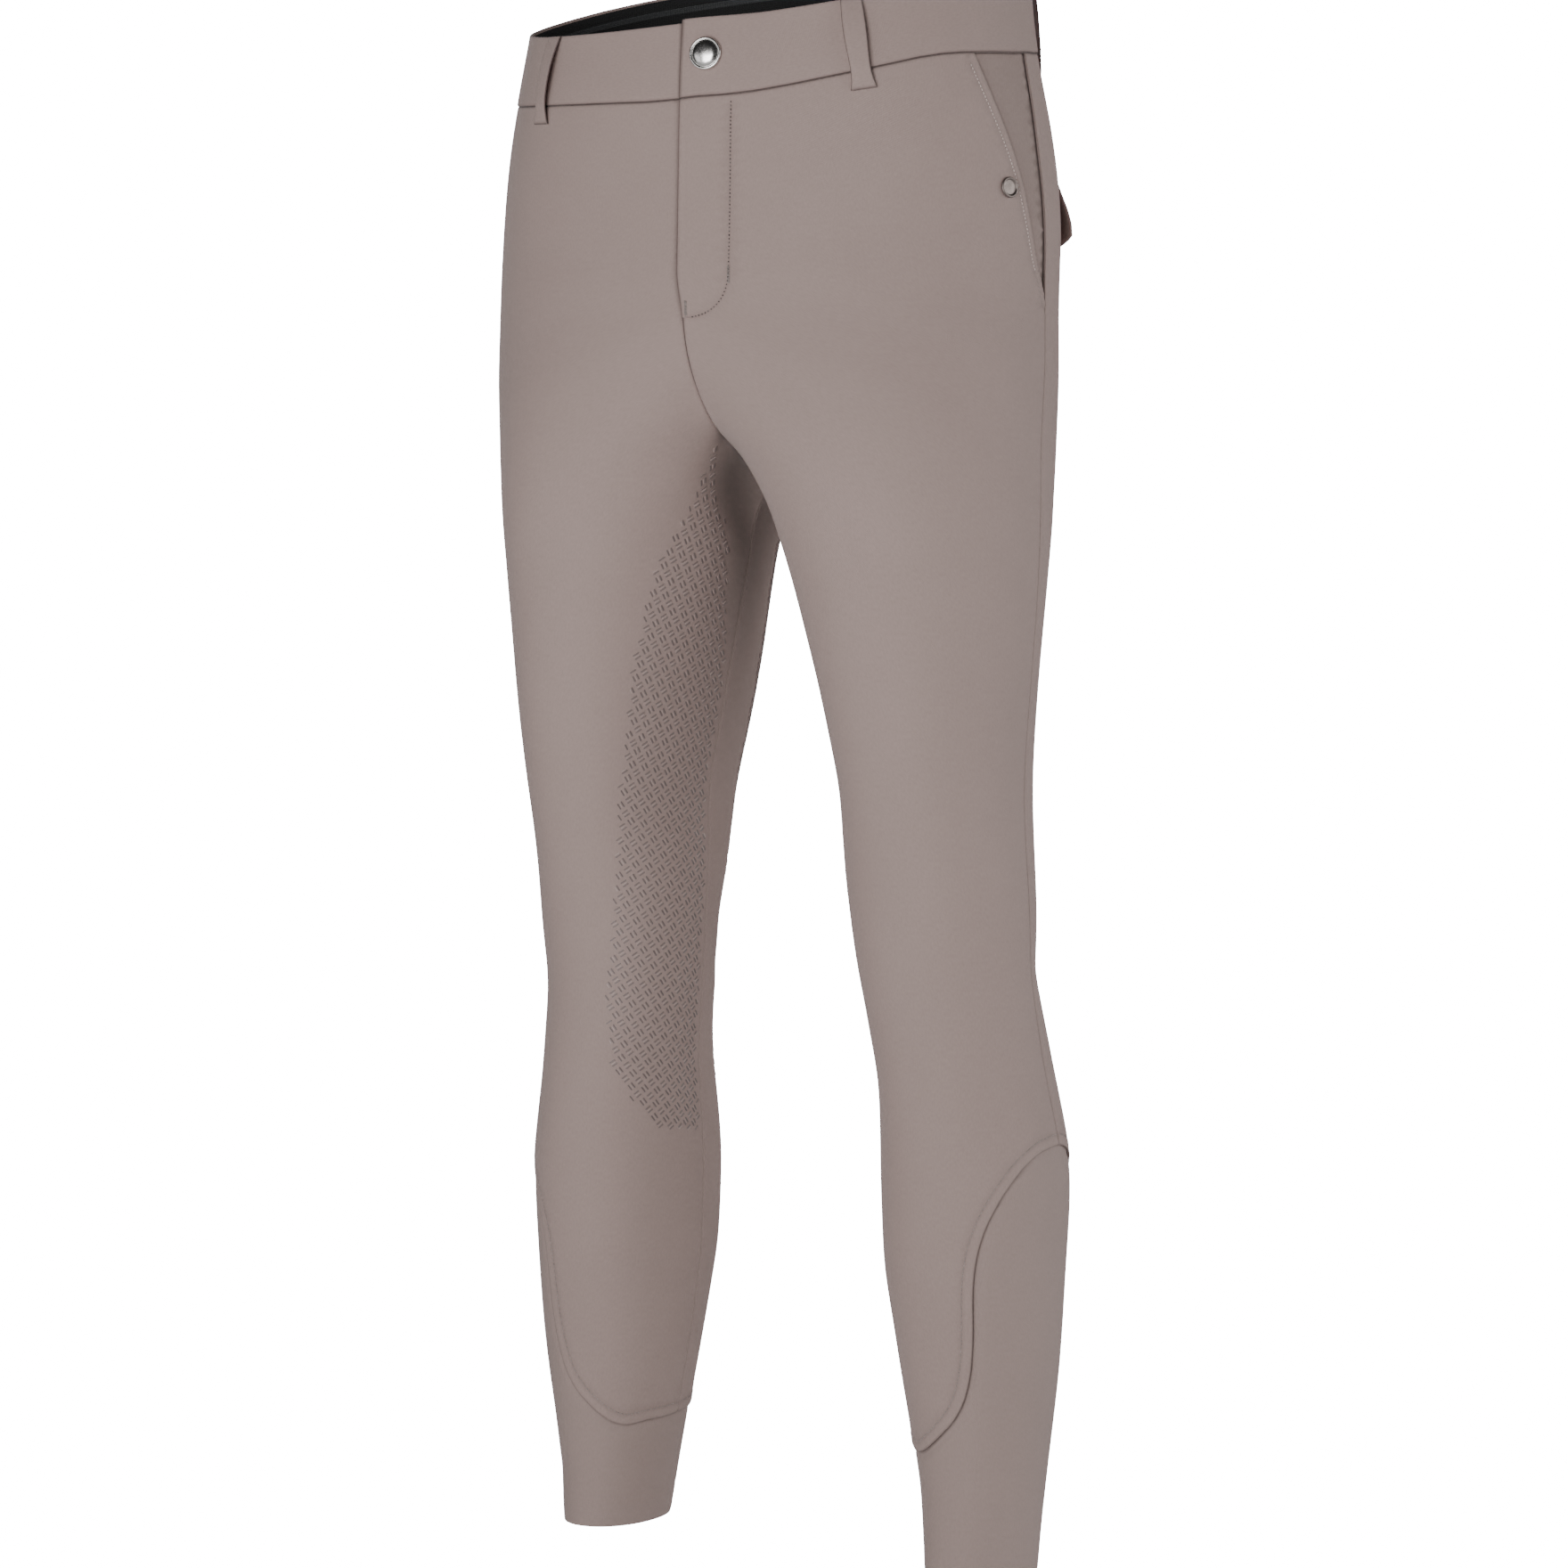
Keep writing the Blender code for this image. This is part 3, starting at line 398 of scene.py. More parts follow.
# The height at which the two halves' inner sides part
INNER_COLUMN = 1
CROTCH = -float(np.interp(0.0, COLUMNS[INNER_COLUMN], -SCALE))


def smooth_step(value):
    value = np.clip(value, 0, 1)
    return value * value * (3 - 2 * value)


def bell(distance, run):
    """1 on a line, fading to nothing a run or two away from it."""
    return np.exp(-(distance / run) ** 2)


def fly_lap(side, height):
    """How far a half stops short of the centre: the left front laps over the right at the fly."""
    return -side * FLY_LAP * smooth_step((height - FLY_END) / (FLY_TURN - FLY_END))


def fly_edge(height):
    """How far from the centre the fly's stitching runs."""
    drop = np.clip((FLY_TURN - height) / (FLY_TURN - FLY_END), 0, 1)
    return FLY_WIDTH * (1 - drop ** FLY_SQUARE) ** (1 / FLY_SQUARE)


def fly_lift(angle, height):
    """The extra layers under the left front's fly, out to its J-shaped line of stitching."""
    x = plain_point(1, angle, height)[..., 0]
    inside = smooth_step((fly_edge(height) - x) / FLY_STEP_RUN + 0.5)
    return FLY_LIFT * inside * (np.sin(angle) > 0) * (height > FLY_END)


def cuff_lift(angle, height):
    """The main cloth's rise over the stretch panel's turned edge."""
    rows = np.array(CUFF_SEAM)
    turns = np.radians(rows[:, 0])
    steep = np.interp(angle, turns, np.abs(np.gradient(rows[:, 1], turns)))
    reach = CUFF_EDGE_RUN + CUFF_STEEP_RUN * np.minimum(steep, 1.0)
    away = (height - at_girth(CUFF_SEAM, angle)) / reach
    return at_girth(CUFF_LIFTS, angle) * np.exp(-0.5 * away ** 2)


def under_lift(side, at_back, angle, height):
    """What lies under a panel's cloth: the stretch panel's edge and the left front's fly."""
    rise = cuff_lift(angle, height)
    return rise + fly_lift(angle, height) if side > 0 and not at_back else rise


EASE_STEP = 0.002
EASE_PASSES = 24


def lengths_along(points):
    """The length of a line up to each of its points."""
    steps = np.linalg.norm(np.diff(points, axis=0), axis=1)
    return np.concatenate([[0], np.cumsum(steps)])


def points_at(places, along, line):
    """Points of a line at lengths along it."""
    return np.stack([np.interp(places, along, line[:, k]) for k in range(2)], axis=1)


def even_points(line, along, count):
    return points_at(np.linspace(0, along[-1], count + 1), along, line)


def eased(rows, count):
    """A smooth curve through a table's rows, as count + 1 points evenly spaced along it."""
    rows = np.array(rows, float)
    along = lengths_along(rows)
    curve = even_points(rows, along, int(along[-1] / EASE_STEP) + 1)
    for _ in range(EASE_PASSES):
        curve[1:-1] = (curve[:-2] + 2 * curve[1:-1] + curve[2:]) / 4
    return even_points(curve, lengths_along(curve), count)


def in_plane(rows):
    """(height, girth angle in degrees) rows as points of the cutting plane."""
    return [(math.radians(angle) * PLANE, height) for height, angle in rows]


def as_plan(curve):
    return curve / np.array([PLANE, 1.0])


SIDE_LINE_POINTS = 400
CUFF_LINE_POINTS = 330
POCKET_POINTS = 48
side_line = as_plan(eased(in_plane(SIDE_SEAM), SIDE_LINE_POINTS))
cuff_line = as_plan(eased(in_plane([(row[1], row[0]) for row in CUFF_SEAM]), CUFF_LINE_POINTS))


def pocket_mouth(side):
    rows = in_plane(POCKET_MOUTH)
    rows[0] = (rows[0][0], hung(side, rows[0][0] / PLANE, WAIST_SEAM))
    return as_plan(eased(rows, POCKET_POINTS))


def side_seam(top, foot, count):
    heights = np.linspace(top, foot, count + 1)
    angles = np.interp(-heights, -side_line[:, 1], side_line[:, 0])
    return np.stack([angles, heights], axis=1)


def side_top(side):
    return float(hung(side, side_line[0, 0], WAIST_SEAM))


cuff_top = int(np.argmin(np.abs(cuff_line[:, 0] - side_line[-1, 0])))
cuff_line[cuff_top] = (side_line[-1, 0], cuff_line[cuff_top, 1])
side_foot = cuff_line[cuff_top, 1]


INSEAM_STEPS = 190
CENTRE_STEPS = 800


def inseam(at_back):
    heights = np.linspace(cuff_line[0, 1], CROTCH, INSEAM_STEPS + 1)
    turn = 2 * math.pi if at_back else 0.0
    return np.stack([np.full(len(heights), turn), heights], axis=1)


def front_centre(side, height):
    """The girth angle at which a front ends by the centre."""
    return angle_at_x(fly_lap(side, height), height)


def centre_seam(side, at_back, count):
    """From the crotch up to the waist seam, spaced evenly along the body's own curve."""
    heights = CROTCH + (WAIST_SEAM - CROTCH) * np.linspace(0, 1, CENTRE_STEPS) ** 2.0
    angles = angle_at_x(0.0, heights, True) if at_back else front_centre(side, heights)
    along = lengths_along(plain_point(1, angles, heights))
    return even_points(np.stack([angles, heights], axis=1), along, count)


SAME_POINT = 1e-6
SHARPEST_TURN = 0.5


def waist_line(side, start, end, count):
    angles = np.linspace(start, end, count + 1)
    return np.stack([angles, hung(side, angles, np.full(count + 1, WAIST_SEAM))], axis=1)


def outline(*curves):
    """Curves end to end as one closed outline, without repeated points."""
    points = np.concatenate(curves)
    new = np.abs(np.diff(points, axis=0)).max(axis=1) > SAME_POINT
    points = points[np.concatenate([[True], new])]
    closed = np.abs(points[0] - points[-1]).max() < SAME_POINT
    return points[:-1] if closed else points


def surface_scale(points):
    along, up = slopes(1, points[:, 0], points[:, 1])
    return np.stack([np.linalg.norm(along, axis=1), np.linalg.norm(up, axis=1)], axis=1)


def inset(points, distance):
    """A closed outline drawn in by a distance measured on the body surface."""
    scale = surface_scale(points)
    ahead = (np.roll(points, -1, axis=0) - points) * scale
    behind = (points - np.roll(points, 1, axis=0)) * scale
    ahead /= np.linalg.norm(ahead, axis=1, keepdims=True)
    behind /= np.linalg.norm(behind, axis=1, keepdims=True)
    x, y = points[:, 0], points[:, 1]
    turning = np.sign(np.sum(x * np.roll(y, -1) - np.roll(x, -1) * y))
    inward = ahead + behind
    inward = turning * np.stack([-inward[:, 1], inward[:, 0]], axis=1)
    inward /= np.linalg.norm(inward, axis=1, keepdims=True)
    side = turning * np.stack([-ahead[:, 1], ahead[:, 0]], axis=1)
    spread = np.clip(np.sum(inward * side, axis=1), SHARPEST_TURN, 1)
    return points + inward / spread[:, None] * distance / scale


def shifted(line, distance):
    """An open line moved sideways by a distance measured on the body surface."""
    scale = surface_scale(line)
    run = np.gradient(line, axis=0) * scale
    run /= np.linalg.norm(run, axis=1, keepdims=True)
    return line + np.stack([-run[:, 1], run[:, 0]], axis=1) * distance / scale


def inside(polygon, points):
    """Which points lie inside a closed outline."""
    found = np.zeros(len(points), bool)
    for (ax, ay), (bx, by) in zip(polygon, np.roll(polygon, -1, axis=0)):
        crosses = (ay > points[:, 1]) != (by > points[:, 1])
        if crosses.any():
            at = ax + (points[:, 1] - ay) / (by - ay + 1e-30) * (bx - ax)
            found ^= crosses & (points[:, 0] < at)
    return found


def beside(line, points):
    """Each point's distance from a line through space, and the run along the line to it."""
    best = np.full(len(points), 9.0)
    along = np.zeros(len(points))
    done = 0.0
    for start, end in zip(line[:-1], line[1:]):
        run = end - start
        length = float(np.linalg.norm(run))
        if length < 1e-9:
            continue
        share = np.clip((points - start) @ run / length ** 2, 0, 1)
        gap = np.linalg.norm(points - start - share[:, None] * run, axis=1)
        nearer = gap < best
        best[nearer] = gap[nearer]
        along[nearer] = done + share[nearer] * length
        done += length
    return best, along


def in_space(plan):
    """A line of the cutting plane laid on the left half's plain surface."""
    return plain_point(1, plan[:, 0], plan[:, 1])


CLOTH_SPACING = 0.0046
EDGE_ROWS = (0.0007, 0.0016, 0.0029, 0.0046)
STITCH_ROWS = (-0.0009, 0.0, 0.0009)
ROW_ROOM = 0.45 * CLOTH_SPACING
ROW_KEPT = 0.85
STITCH_ROW_ROOM = 0.0006
SAME_CORNER = 1e-7


def kept_rows(row, edge, closed, least):
    """The points of a row that lie inside an edge and far enough from it."""
    row = row[inside(edge, row)]
    gap, _ = beside(closed, in_space(row))
    return row[gap > least]


def cut_cloth(edge, lines=()):
    """(plan, faces): an outline filled with small triangles, in rows along its edge and lines."""
    stretch = np.array([PLANE, 1.0])
    plane = edge * stretch
    low, high = plane.min(axis=0), plane.max(axis=0)
    rise = CLOTH_SPACING * math.sqrt(3) / 2
    rows = np.arange(int(low[1] / rise) - 1, int(high[1] / rise) + 2)
    columns = np.arange(int(low[0] / CLOTH_SPACING) - 2, int(high[0] / CLOTH_SPACING) + 3)
    lattice = np.stack(np.meshgrid(columns, rows), axis=-1).reshape(-1, 2).astype(float)
    lattice[:, 0] += 0.5 * (lattice[:, 1] % 2)
    lattice = lattice * np.array([CLOTH_SPACING, rise]) / stretch
    closed = in_space(np.concatenate([edge, edge[:1]]))
    lattice = kept_rows(lattice, edge, closed[::2], EDGE_ROWS[-1] + ROW_ROOM)
    every = [edge]
    for distance in EDGE_ROWS:
        every.append(kept_rows(inset(edge, distance), edge, closed, ROW_KEPT * distance))
    for line in lines:
        gap, _ = beside(in_space(line), in_space(lattice))
        lattice = lattice[gap > STITCH_ROWS[-1] + ROW_ROOM]
        for shift in STITCH_ROWS:
            least = EDGE_ROWS[-1] + STITCH_ROW_ROOM
            every.append(kept_rows(shifted(line, shift), edge, closed[::2], least))
    every.append(lattice)
    points = [Vector(point) for point in np.concatenate(every) * stretch]
    result = delaunay_2d_cdt(points, [], [list(range(len(edge)))], 1, SAME_CORNER)
    plan = np.array([tuple(point) for point in result[0]]) / stretch
    faces = np.array([tuple(face) for face in result[2]])
    a, b, c = plan[faces[:, 0]], plan[faces[:, 1]], plan[faces[:, 2]]
    area = (b[:, 0] - a[:, 0]) * (c[:, 1] - a[:, 1]) - (b[:, 1] - a[:, 1]) * (c[:, 0] - a[:, 0])
    faces[area < 0] = faces[area < 0][:, ::-1]
    used, index = np.unique(faces, return_inverse=True)
    return plan[used], index.reshape(faces.shape)


ROLL_RUN = 0.0010
SWELL_AT = 0.0038
SWELL_RUN = 0.0026
GROOVE_RUN = 0.0008
STITCH_GROOVE = 0.00022
PUCKER_PITCH = 0.0085
PUCKER_RUN = 0.0050
PUCKER_CLEAR = 0.0012


def seam_form(points, seams):
    """The outer skin's own shape by its seams: a rolled edge, a swell, puckers and a groove."""
    form = np.zeros(len(points))
    for line, roll, swell, pucker, stitch_at, _, _ in seams:
        gap, run = beside(in_space(line)[::2], points)
        form -= roll * bell(gap, ROLL_RUN)
        form += swell * bell(gap - SWELL_AT, SWELL_RUN)
        uneven = np.sin(run / 0.061 + 1.7) * 1.3 + np.sin(run / 0.023)
        wave = np.sin(2 * math.pi * run / PUCKER_PITCH + uneven)
        form += pucker * wave * bell(gap, PUCKER_RUN) * (1 - bell(gap, PUCKER_CLEAR))
        if stitch_at:
            form -= STITCH_GROOVE * bell(gap - stitch_at, GROOVE_RUN)
    return form


SHADE_RUN = 0.00060
STITCH_SHADE = 0.32
STITCH_SHADE_RUN = 0.0011
SHADE_FADE = (-0.250, 0.090)


def seam_shade(plan, seams):
    """Painted shade where the seams turn the cloth under: 0 in the open and 1 at the seam's edge."""
    dark = np.zeros(len(plan))
    upper = smooth_step((plan[:, 1] - SHADE_FADE[0]) / SHADE_FADE[1])
    for line, _, _, _, stitch_at, above, below in seams:
        gap, _ = beside(in_space(line)[::2], in_space(plan))
        share = below + (above - below) * upper
        dark = np.maximum(dark, share * bell(gap, SHADE_RUN))
        if stitch_at:
            stitched = STITCH_SHADE * share * bell(gap - stitch_at, STITCH_SHADE_RUN)
            dark = np.maximum(dark, stitched)
    return dark


# Darker patches by the crotch: part wear, part painted shade of the hollow between the thighs
WEAR_AND_PAINTED_SHADE_PATCHES = (
    # girth angle, height, slant in degrees, along, across, strength
    (17.0, -0.3050, 45.0, 0.030, 0.013, 0.62),
    (4.0, -0.3500, 78.0, 0.045, 0.015, 0.38),
    (352.0, -0.3900, 90.0, 0.070, 0.022, 0.22),
)


def wear_and_painted_shade(side, plan):
    """Where the inner thighs meet by the crotch the cloth is coloured darker: part wear, part painted
    shade of the hollow between them.
    """
    dark = np.zeros(len(plan))
    girth = girth_scale(side, plan[:, 0], plan[:, 1])
    for *place, strength in WEAR_AND_PAINTED_SHADE_PATCHES:
        spot = strength * oval(girth, plan[:, 0], plan[:, 1], *place)
        dark = 1 - (1 - dark) * (1 - spot)
    return dark


def rim(faces):
    """The edges that belong to one face only, each as that face runs along it."""
    runs = np.concatenate([faces[:, [0, 1]], faces[:, [1, 2]], faces[:, [2, 0]]])
    count = faces.max() + 1
    key = runs[:, 0] * count + runs[:, 1]
    back = runs[:, 1] * count + runs[:, 0]
    return runs[~np.isin(key, back)]


CLOTH_SHARP = 48.0
METAL_SHARP = 70.0


def add_piece(name, points, faces, finish, maps=(), sharp=CLOTH_SHARP):
    """A mesh in the object's one body, smooth but for its sharp edges, with maps of its points."""
    mesh = bpy.data.meshes.new(name)
    mesh.from_pydata(np.asarray(points).tolist(), [], [list(map(int, face)) for face in faces])
    mesh.validate()
    mesh.shade_smooth()
    mesh.set_sharp_from_angle(angle=math.radians(sharp))
    corners = np.empty(len(mesh.loops), np.int32)
    mesh.loops.foreach_get("vertex_index", corners)
    for label, values in maps:
        layer = mesh.uv_layers.new(name=label)
        layer.data.foreach_set("uv", np.asarray(values, np.float32)[corners].ravel())
    piece = bpy.data.objects.new(name, mesh)
    mesh.materials.append(finish)
    bpy.context.scene.collection.objects.link(piece)
    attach(piece, "root")
    return piece


def grain_maps(grain, shade):
    """The maps that a woven finish reads: its grain, and the shade painted along its seams."""
    return [("cloth_grain", grain), ("seam_shade", np.stack([shade, np.zeros(len(shade))], axis=1))]


def shell_faces(faces, count):
    """The faces of two matching skins and of the turned edges between them."""
    edge = rim(faces)
    sides = np.stack([edge[:, 1], edge[:, 0], edge[:, 0] + count, edge[:, 1] + count], axis=1)
    return faces.tolist() + (faces[:, ::-1] + count).tolist() + sides.tolist()


INNER_SHADE = 0.5


def add_cloth(name, side, outer, inner, faces, finish, node, plan, shade):
    """A closed shell between two matching skins, with its weave laid round the girth."""
    every = shell_faces(faces if side > 0 else faces[:, ::-1], len(outer))
    grain = np.stack([girth_run(plan[:, 0], plan[:, 1]), plan[:, 1]], axis=1)
    shade = np.concatenate([shade, shade * INNER_SHADE])
    maps = grain_maps(np.concatenate([grain, grain]), shade)
    piece = add_piece(name, np.concatenate([outer, inner]), every, finish, maps)
    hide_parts(node)
    return piece


def quad_grid(rows, columns, closed=True):
    """Quads between rows of points, which may close on themselves."""
    across = columns if closed else columns - 1
    row, column = np.meshgrid(np.arange(rows - 1), np.arange(across), indexing="ij")
    here = (row * columns + column).ravel()
    after = (row * columns + (column + 1) % columns).ravel()
    return np.stack([here, after, after + columns, here + columns], axis=1)


def halved(quads):
    return np.concatenate([quads[:, [0, 1, 2]], quads[:, [0, 2, 3]]])


def flipped(faces):
    return [face[::-1] for face in faces]


def tube_faces(rings, around):
    """Quads along a row of closed rings, with a face over each end."""
    last = (rings - 1) * around
    ends = [list(range(around))[::-1], list(range(last, last + around))]
    return quad_grid(rings, around).tolist() + ends


# Sewing thread: short bars that dip into the cloth at both ends, in rows along a line
BAR_RINGS = (
    # place along the bar, share of its thickness, dip
    (-1.00, 0.40, 0.00030),
    (-0.72, 0.90, 0.00010),
    (0.00, 1.00, 0.00000),
    (0.72, 0.90, 0.00010),
    (1.00, 0.40, 0.00030),
)
BAR_SIDES = 6
BAR_SIT = 0.35
BAR_UNEVEN = 0.06
TACK_LEAN = 0.12


def quarter_turn(heading):
    return np.stack([-heading[:, 1], heading[:, 0]], axis=1)


def along_line(line, pitch, start=0.0, end=0.0):
    """(plan, heading): places a pitch apart along a line, with its direction on the surface."""
    run = lengths_along(in_space(line))
    places = np.arange(start + pitch / 2, run[-1] - end, pitch)
    plan = points_at(places, run, line)
    ahead = points_at(places + pitch / 2, run, line)
    behind = points_at(places - pitch / 2, run, line)
    heading = (ahead - behind) * surface_scale(plan)
    return plan, heading / np.linalg.norm(heading, axis=1, keepdims=True)


def across_line(line, pitch):
    """Like along_line, but each heading lies across the line, as in a bar tack."""
    plan, heading = along_line(line, pitch)
    lean = np.where(np.arange(len(plan)) % 2, TACK_LEAN, -TACK_LEAN)
    return plan, quarter_turn(heading) + lean[:, None] * heading


def thread_bars(side, plan, heading, length, thick, skin_at, dice):
    """(points, faces) of one rounded bar at each place, lying along its heading."""
    rings = np.array(BAR_RINGS)
    spans = length * (1 + BAR_UNEVEN * dice.uniform(-1, 1, len(plan))) / 2
    turns = BAR_UNEVEN * dice.uniform(-1, 1, len(plan))
    heading = heading + turns[:, None] * quarter_turn(heading)
    reach = (heading * spans[:, None])[:, None, :] * rings[None, :, 0, None]
    places = (plan[:, None, :] + reach / surface_scale(plan)[:, None, :]).reshape(-1, 2)
    sit = np.tile(thick * BAR_SIT - rings[:, 2], len(plan))
    middle = cloth_point(side, places[:, 0], places[:, 1], skin_at(places) + sit)
    out = outward(side, places[:, 0], places[:, 1])
    run = np.gradient(middle.reshape(len(plan), -1, 3), axis=1).reshape(-1, 3)
    across = np.cross(run, out)
    across /= np.linalg.norm(across, axis=1, keepdims=True)
    around = np.arange(BAR_SIDES) * 2 * math.pi / BAR_SIDES
    wide = np.tile(thick / 2 * rings[:, 1], len(plan))[:, None, None]
    ring = np.cos(around)[:, None] * across[:, None, :] + np.sin(around)[:, None] * out[:, None, :]
    points = (middle[:, None, :] + wide * ring).reshape(-1, 3)
    one = flipped(tube_faces(len(rings), BAR_SIDES))
    size = len(rings) * BAR_SIDES
    return points, [[k + size * bar for k in face] for bar in range(len(plan)) for face in one]


def add_threads(name, side, rows, skin_at, seed):
    """One piece of every row of bars: each row is (places, headings), length, thickness, tone."""
    dice = np.random.default_rng(seed)
    points, faces, tones = [], [], []
    count = 0
    for (plan, heading), length, thick, tone in rows:
        bars, sides = thread_bars(side, plan, heading, length, thick, skin_at, dice)
        faces += [[k + count for k in face] for face in sides]
        points.append(bars)
        uneven = np.repeat(dice.random(len(plan)), len(bars) // len(plan))
        tones.append(np.stack([np.full(len(bars), tone), uneven], axis=1))
        count += len(bars)
    maps = [("thread_tone", np.concatenate(tones))]
    return add_piece(name, np.concatenate(points), faces, THREAD, maps)


def kept_clear(points, side, least):
    """Points moved off the centre plane, so that the two halves don't meet."""
    points[:, 0] = side * np.maximum(side * points[:, 0], least)
    return points


# The weave: a fine diagonal rib, a melange of lighter and darker yarns, slow unevenness and painted seam
# shade
def new_group(name, inputs, outputs):
    group = bpy.data.node_groups.new(name, "ShaderNodeTree")
    for label, kind, value in inputs:
        socket = group.interface.new_socket(label, in_out="INPUT", socket_type=kind)
        if value is not None:
            socket.default_value = value
    for label, kind in outputs:
        group.interface.new_socket(label, in_out="OUTPUT", socket_type=kind)
    start = group.nodes.new("NodeGroupInput")
    end = group.nodes.new("NodeGroupOutput")
    return group, start.outputs, end.inputs


def maker(tree):
    """A short way to add one node: its kind, its settings, and what feeds its sockets."""
    def make(kind, settings=(), **feeds):
        node = tree.nodes.new(kind)
        for setting, value in settings:
            setattr(node, setting, value)
        for key, value in feeds.items():
            place = key.replace("_", " ").title() if not key.startswith("in") else int(key[2:])
            socket = node.inputs[place]
            if isinstance(value, bpy.types.NodeSocket):
                tree.links.new(value, socket)
            else:
                socket.default_value = value
        return node
    return make


def math_node(make, operation, first, second=0.0, third=0.0):
    feeds = {"in0": first, "in1": second, "in2": third}
    return make("ShaderNodeMath", [("operation", operation)], **feeds).outputs[0]


def mix_colour(make, share, first, second, way="MIX"):
    settings = [("data_type", "RGBA"), ("blend_type", way)]
    return make("ShaderNodeMix", settings, in0=share, in6=first, in7=second).outputs[2]


def noise(make, place, scale, detail):
    return make("ShaderNodeTexNoise", Vector=place, Scale=scale, Detail=detail).outputs[0]


def stretched(make, place, factors):
    settings = [("operation", "MULTIPLY")]
    return make("ShaderNodeVectorMath", settings, in0=place, in1=factors).outputs[0]


def parts_of(make, vector):
    return make("ShaderNodeSeparateXYZ", in0=vector).outputs


def mapped(make, name):
    return make("ShaderNodeUVMap", [("uv_map", name)]).outputs[0]


def set_inputs(node, **values):
    """Plain values for a node's own sockets, by their names in lower case."""
    for socket in node.inputs:
        word = socket.name.lower().replace(" ", "_")
        if word in values:
            socket.default_value = values.pop(word)


def new_finish(name):
    """(material, shader, node maker, a way to link a value to the shader)."""
    finish = bpy.data.materials.new(name)
    finish.use_nodes = True
    tree = finish.node_tree
    shader = tree.nodes["Principled BSDF"]

    def feed(value, label):
        tree.links.new(value, shader.inputs[label])

    return finish, shader, maker(tree), feed


def add_bump(make, feed, strength, distance, height):
    raised = make("ShaderNodeBump", Strength=strength, Distance=distance, Height=height)
    feed(raised.outputs[0], "Normal")


weave, weave_in, weave_out = new_group(
    "stretch_weave",
    [
        ("Grain", "NodeSocketVector", None),
        ("Colour", "NodeSocketColor", (0.3, 0.25, 0.23, 1.0)),
        ("Deep Colour", "NodeSocketColor", (0.2, 0.16, 0.15, 1.0)),
        ("Pitch", "NodeSocketFloat", 0.0006),
        ("Rib", "NodeSocketFloat", 1.0),
        ("Melange", "NodeSocketFloat", 0.3),
        ("Unevenness", "NodeSocketFloat", 0.3),
        ("Roughness", "NodeSocketFloat", 0.85),
        ("Fold", "NodeSocketFloat", 0.0),
    ],
    [("Colour", "NodeSocketColor"), ("Roughness", "NodeSocketFloat"), ("Height", "NodeSocketFloat")],
)
make = maker(weave)
apart = parts_of(make, weave_in["Grain"])
across = math_node(make, "DIVIDE", apart[0], weave_in["Pitch"])
upward = math_node(make, "DIVIDE", apart[1], weave_in["Pitch"])
diagonal = math_node(make, "MULTIPLY_ADD", upward, 0.62, across)
rib = math_node(make, "SINE", math_node(make, "MULTIPLY", diagonal, 2 * math.pi))
yarn = math_node(make, "SINE", math_node(make, "MULTIPLY", upward, 2 * math.pi * 1.3))
twill = math_node(make, "MULTIPLY_ADD", yarn, 0.35, rib)
slub = noise(make, stretched(make, weave_in["Grain"], (900.0, 420.0, 1.0)), 1.0, 2.0)
cloud = noise(make, weave_in["Grain"], 14.0, 3.0)
fleck = math_node(make, "MULTIPLY", math_node(make, "SUBTRACT", slub, 0.5), weave_in["Melange"])
broad = math_node(make, "MULTIPLY", math_node(make, "SUBTRACT", cloud, 0.5), weave_in["Unevenness"])
lines = math_node(make, "MULTIPLY", math_node(make, "MULTIPLY", twill, -0.055), weave_in["Rib"])
depth = math_node(make, "ADD", math_node(make, "ADD", fleck, broad), lines)
depth = math_node(make, "ADD", depth, 0.25)
shade = make("ShaderNodeClamp", in0=depth).outputs[0]
open_cloth = mix_colour(make, shade, weave_in["Colour"], weave_in["Deep Colour"])
# Painted shade: the cloth's colour darkened along the seams, as far as the seam shade map says
folded = mix_colour(make, 1.0, open_cloth, (0.10, 0.09, 0.085, 1.0), "MULTIPLY")
weave.links.new(mix_colour(make, weave_in["Fold"], open_cloth, folded), weave_out["Colour"])
dull = math_node(make, "MULTIPLY_ADD", slub, 0.10, weave_in["Roughness"])
weave.links.new(math_node(make, "SUBTRACT", dull, 0.05), weave_out["Roughness"])
ribbed = math_node(make, "MULTIPLY", twill, weave_in["Rib"])
weave.links.new(math_node(make, "MULTIPLY_ADD", slub, 0.8, ribbed), weave_out["Height"])


WEAVE_DEPTH = 0.00012


def woven(name, colour, deep, pitch, rib_share, melange, unevenness, rough, sheen, bump):
    """A cloth finish: the weave's colour with its painted seam shade, and its relief, on a soft,
    slightly sheened shader.
    """
    finish, shader, make, feed = new_finish(name)
    seam_shadow = parts_of(make, mapped(make, "seam_shade"))[0]
    grain = mapped(make, "cloth_grain")
    cloth = make("ShaderNodeGroup", [("node_tree", weave)], Grain=grain, Fold=seam_shadow)
    set_inputs(cloth, colour=colour, deep_colour=deep, pitch=pitch, rib=rib_share,
               melange=melange, unevenness=unevenness, roughness=rough)
    feed(cloth.outputs["Colour"], "Base Color")
    feed(cloth.outputs["Roughness"], "Roughness")
    add_bump(make, feed, bump, WEAVE_DEPTH, cloth.outputs["Height"])
    set_inputs(shader, sheen_weight=sheen, sheen_roughness=0.45, specular_ior_level=0.25)
    return finish


